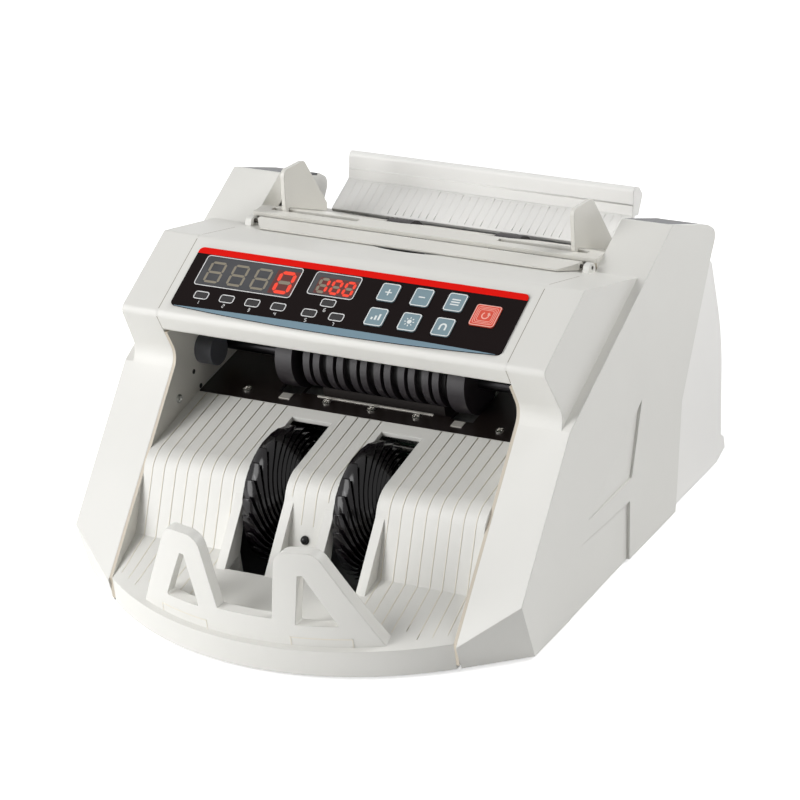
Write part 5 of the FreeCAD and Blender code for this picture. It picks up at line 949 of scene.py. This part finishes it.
class COUNTER_OT_drive(bpy.types.Operator):
    """Finishes motors, pulleys, belts and the timing disc"""
    bl_idname = "counter.drive"
    bl_label = "Drive"

    def execute(self, context):
        # Drawn and plated motor can: plain grey metal with a soft shine.
        finish("drive_motors", "plated_motor_can", "#9fa1a2", 1.5, 0.01, 0.35, 0.08, Metallic=1.0)
        # Moulded acetal: ivory white and slightly waxy.
        finish("feed_pulleys feed_motor_pulley stacker_motor_pulley impeller_pulley pickup_pulley",
               "moulded_acetal_pulley", "#dcd9cf", 1.0, 0.02, 0.4, 0.04, IOR=1.48)
        # Moulded belt rubber: black and dull.
        finish("drive_belts", "moulded_belt_rubber", "#1b1a1a", 1.2, 0.05, 0.7, 0.12, IOR=1.52)
        # Photo-etched steel sheet: flat grey metal with an even gleam.
        finish("encoder_disc", "photo_etched_steel", "#8d8e8c", 0.6, 0.01, 0.3, 0.06, Metallic=1.0)
        return {"FINISHED"}


class COUNTER_OT_electronics(bpy.types.Operator):
    """Finishes the circuit boards and the transformer"""
    bl_idname = "counter.electronics"
    bl_label = "Electronics"

    def execute(self, context):
        # Glass-epoxy board under solder mask: green and glossy, shaded where copper lies below.
        finish("main_board display_board",
               "solder_mask_board", "#1d5c3a", 2.0, 0.02, 0.35, 0.15, 6.0, IOR=1.55)
        # Stacked and varnished steel sheets: dark grey metal with a patchy shine.
        finish("transformer", "laminated_transformer_steel", "#55534f", 0.5, 0.05, 0.45, 0.15, Metallic=1.0)
        return {"FINISHED"}


class COUNTER_OT_rear_fittings(bpy.types.Operator):
    """Finishes inlet, switch, fuse holder and knob, and prints the rocker's on and off marks"""
    bl_idname = "counter.rear_fittings"
    bl_label = "Rear fittings"

    # Middle of each half of the rocker's face, and the depth and height of its outward direction.
    ON_FACE = ((98.0, 134.01, 36.0), (0.924, -0.382))
    OFF_FACE = ((98.0, 132.95, 29.1), (0.994, 0.113))
    INK_LEVELS = (-0.02, 0.04)
    ON_BAR = (0.7, 3.2)
    OFF_RING = (1.1, 1.7)

    def execute(self, context):
        # Glass-filled nylon: black with a dull, slightly mottled face.
        finish("power_inlet switch_bezel fuse_holder thickness_knob",
               "glass_filled_nylon", "#1a1a1b", 0.8, 0.04, 0.5, 0.15, IOR=1.53)
        # The same nylon from a polished mould: black with a clear shine.
        finish("switch_rocker", "polished_nylon_rocker", "#141415", 1.0, 0.01, 0.25, 0.08, IOR=1.53)
        # Pad-printed ink on the rocker: thin, even and a little chalky.
        ink = grained("pad_printed_white", "#dcdcd8", 0.6, 0.01, 0.5, 0.04, IOR=1.5)
        on_mark = self.on_face(prisms([bar(0, 0, *self.ON_BAR)], *self.INK_LEVELS), *self.ON_FACE)
        off_mark = self.on_face(ring(0, 0, *self.OFF_RING, *self.INK_LEVELS), *self.OFF_FACE)
        piece("rocker_marks", joined([on_mark, off_mark]), ink, "rocker")
        # Nickel-plated brass pins: bright and smooth.
        finish("inlet_pins", "nickel_plated_pin", "#bdbab2", 0.5, 0.01, 0.25, 0.05, Metallic=1.0)
        return {"FINISHED"}

    @staticmethod
    def on_face(shape, middle, outward):
        """Carries flat marks in mm to a leaning face, in metres.

        Across stays across, and up the face is at right angles to across and to the outward direction.
        """
        points, faces = shape
        x, t, n = points.T
        back, up = outward
        return in_metres((np.stack([x, n * back - t * up, n * up + t * back], -1) + middle, faces))


class COUNTER_OT_stage(bpy.types.Operator):
    """Sets the white floor, the surroundings, three soft lamps and the camera"""
    bl_idname = "counter.stage"
    bl_label = "Stage"

    # Name, azimuth and elevation in degrees, and the setting of the power. Lengths here are in metres.
    LAMPS = (("high_lamp", -45.0, 40.0, "high_power"), ("low_lamp", -45.0, 12.0, "low_power"),
             ("back_lamp", 130.0, 40.0, "back_power"))
    LAMP_DISTANCE = 2.4
    LAMP_SIZE = 1.4
    FLOOR = 6.0
    SHADOW_REACH, WHITE_FROM = 0.4, 1.2
    SENSOR = 36
    CLIP = (0.05, 50)

    def execute(self, context):
        scene = context.scene
        studio = scene.counter_studio
        scene.view_settings.view_transform = "Standard"
        target = Vector((studio.target_x, studio.target_y, studio.target_z))
        self.floor(scene, studio)
        self.surroundings(scene, studio)
        for name, turn, lift, setting in self.LAMPS:
            back = self.direction(math.radians(turn), math.radians(lift))
            lamp = bpy.data.lights.new(name, "AREA")
            lamp.shape = "DISK"
            lamp.size = self.LAMP_SIZE
            lamp.energy = getattr(studio, setting)
            spot = bpy.data.objects.new(name, lamp)
            spot.location = target + back * self.LAMP_DISTANCE
            spot.rotation_euler = back.to_track_quat("Z", "Y").to_euler()
            scene.collection.objects.link(spot)
        self.camera(scene, studio, target)
        return {"FINISHED"}

    @staticmethod
    def direction(azimuth, elevation):
        """Unit vector from the target: azimuth turns from the front to the right, elevation lifts it."""
        flat = math.cos(elevation)
        return Vector((math.sin(azimuth) * flat, -math.cos(azimuth) * flat, math.sin(elevation)))

    def floor(self, scene, studio):
        """Flat square sheet that keeps the shadow; what is seen of it whitens with the distance."""
        half = self.FLOOR
        corners = [(-half, -half, 0), (half, -half, 0), (half, half, 0), (-half, half, 0)]
        mesh = bpy.data.meshes.new("floor")
        mesh.from_pydata(corners, [], [(0, 1, 2, 3)])
        sheet = bpy.data.objects.new("floor", mesh)
        scene.collection.objects.link(sheet)
        # Matt white paint: plain, with no clear reflection.
        material, tree, shader = surface("painted_floor", Roughness=0.7, Base_Color=rgba(linear("#f1f1f1")))
        place = add(tree, "ShaderNodeTexCoord").outputs["Object"]
        away = add(tree, "ShaderNodeVectorMath", {0: place}, operation="LENGTH").outputs["Value"]
        lift = add(tree, "ShaderNodeMapRange", {
            "Value": away, "From Min": self.SHADOW_REACH, "From Max": self.WHITE_FROM,
            "To Min": studio.floor_lift, "To Max": 1.0})
        glow = add(tree, "ShaderNodeEmission", {"Strength": self.seen(tree, lift.outputs["Result"])})
        both = add(tree, "ShaderNodeAddShader", {0: shader.outputs["BSDF"], 1: glow.outputs["Emission"]})
        tree.links.new(both.outputs["Shader"], tree.nodes["Material Output"].inputs["Surface"])
        mesh.materials.append(material)

    @staticmethod
    def seen(tree, strength):
        """A strength that only camera, mirror and glass rays meet."""
        path = add(tree, "ShaderNodeLightPath").outputs
        rays = path["Is Camera Ray"]
        for kind in ("Is Glossy Ray", "Is Transmission Ray"):
            either = add(tree, "ShaderNodeMath", {0: rays, 1: path[kind]}, operation="MAXIMUM")
            rays = either.outputs["Value"]
        return add(tree, "ShaderNodeMath", {0: rays, 1: strength}, operation="MULTIPLY").outputs["Value"]

    def surroundings(self, scene, studio):
        """Even white room: plain light for the object, full white where it is seen."""
        world = bpy.data.worlds.new("white_room")
        world.use_nodes = True
        scene.world = world
        tree = world.node_tree
        tree.nodes.clear()
        lift = self.seen(tree, 1.0 - studio.ambient)
        total = add(tree, "ShaderNodeMath", {0: lift, 1: studio.ambient}, operation="ADD").outputs["Value"]
        room = add(tree, "ShaderNodeBackground", {"Color": (1, 1, 1, 1), "Strength": total})
        add(tree, "ShaderNodeOutputWorld", {"Surface": room.outputs["Background"]})

    def camera(self, scene, studio, target):
        """Camera on a long lens at the picture's angle, rolled about its own axis."""
        back = self.direction(studio.azimuth, studio.elevation)
        right = Vector((math.cos(studio.azimuth), math.sin(studio.azimuth), 0))
        up = back.cross(right)
        c, s = math.cos(studio.roll), math.sin(studio.roll)
        lens = bpy.data.cameras.new("camera")
        lens.lens = studio.lens
        lens.sensor_width = self.SENSOR
        lens.clip_start, lens.clip_end = self.CLIP
        eye = bpy.data.objects.new("camera", lens)
        turn = Matrix((right * c - up * s, right * s + up * c, back)).transposed()
        eye.matrix_world = Matrix.Translation(target + back * studio.distance) @ turn.to_4x4()
        scene.collection.objects.link(eye)
        scene.camera = eye


OPERATORS = (
    COUNTER_OT_casing, COUNTER_OT_hopper, COUNTER_OT_chassis, COUNTER_OT_panel_film, COUNTER_OT_displays,
    COUNTER_OT_keys, COUNTER_OT_tray_ribs, COUNTER_OT_note_path, COUNTER_OT_rollers,
    COUNTER_OT_stacker_wheels, COUNTER_OT_drive, COUNTER_OT_electronics, COUNTER_OT_rear_fittings,
    COUNTER_OT_stage,
)
GROUPS = {
    "counter_casing": CasingLooks, "counter_panel": PanelPrint,
    "counter_stacker": StackerDetail, "counter_studio": StudioSet,
}


class COUNTER_PT_sidebar(bpy.types.Panel):
    """Lists the machine's settings and the pieces that can be made"""
    bl_idname = "COUNTER_PT_sidebar"
    bl_label = "Banknote counter"
    bl_space_type = "VIEW_3D"
    bl_region_type = "UI"
    bl_category = "Counter"

    def draw(self, context):
        for owner, group in GROUPS.items():
            box = self.layout.box()
            settings = getattr(context.scene, owner)
            for name in group.__annotations__:
                box.prop(settings, name)
        for operator in OPERATORS:
            self.layout.operator(operator.bl_idname)


CLASSES = (*GROUPS.values(), *OPERATORS, COUNTER_PT_sidebar)


def register():
    for each in CLASSES:
        bpy.utils.register_class(each)
    for owner, group in GROUPS.items():
        setattr(bpy.types.Scene, owner, bpy.props.PointerProperty(type=group))


def unregister():
    for owner in GROUPS:
        delattr(bpy.types.Scene, owner)
    for each in reversed(CLASSES):
        bpy.utils.unregister_class(each)


def main():
    """Makes every piece in order."""
    register()
    for operator in OPERATORS:
        family, name = operator.bl_idname.split(".")
        getattr(getattr(bpy.ops, family), name)()


if __name__ == "__main__":
    main()
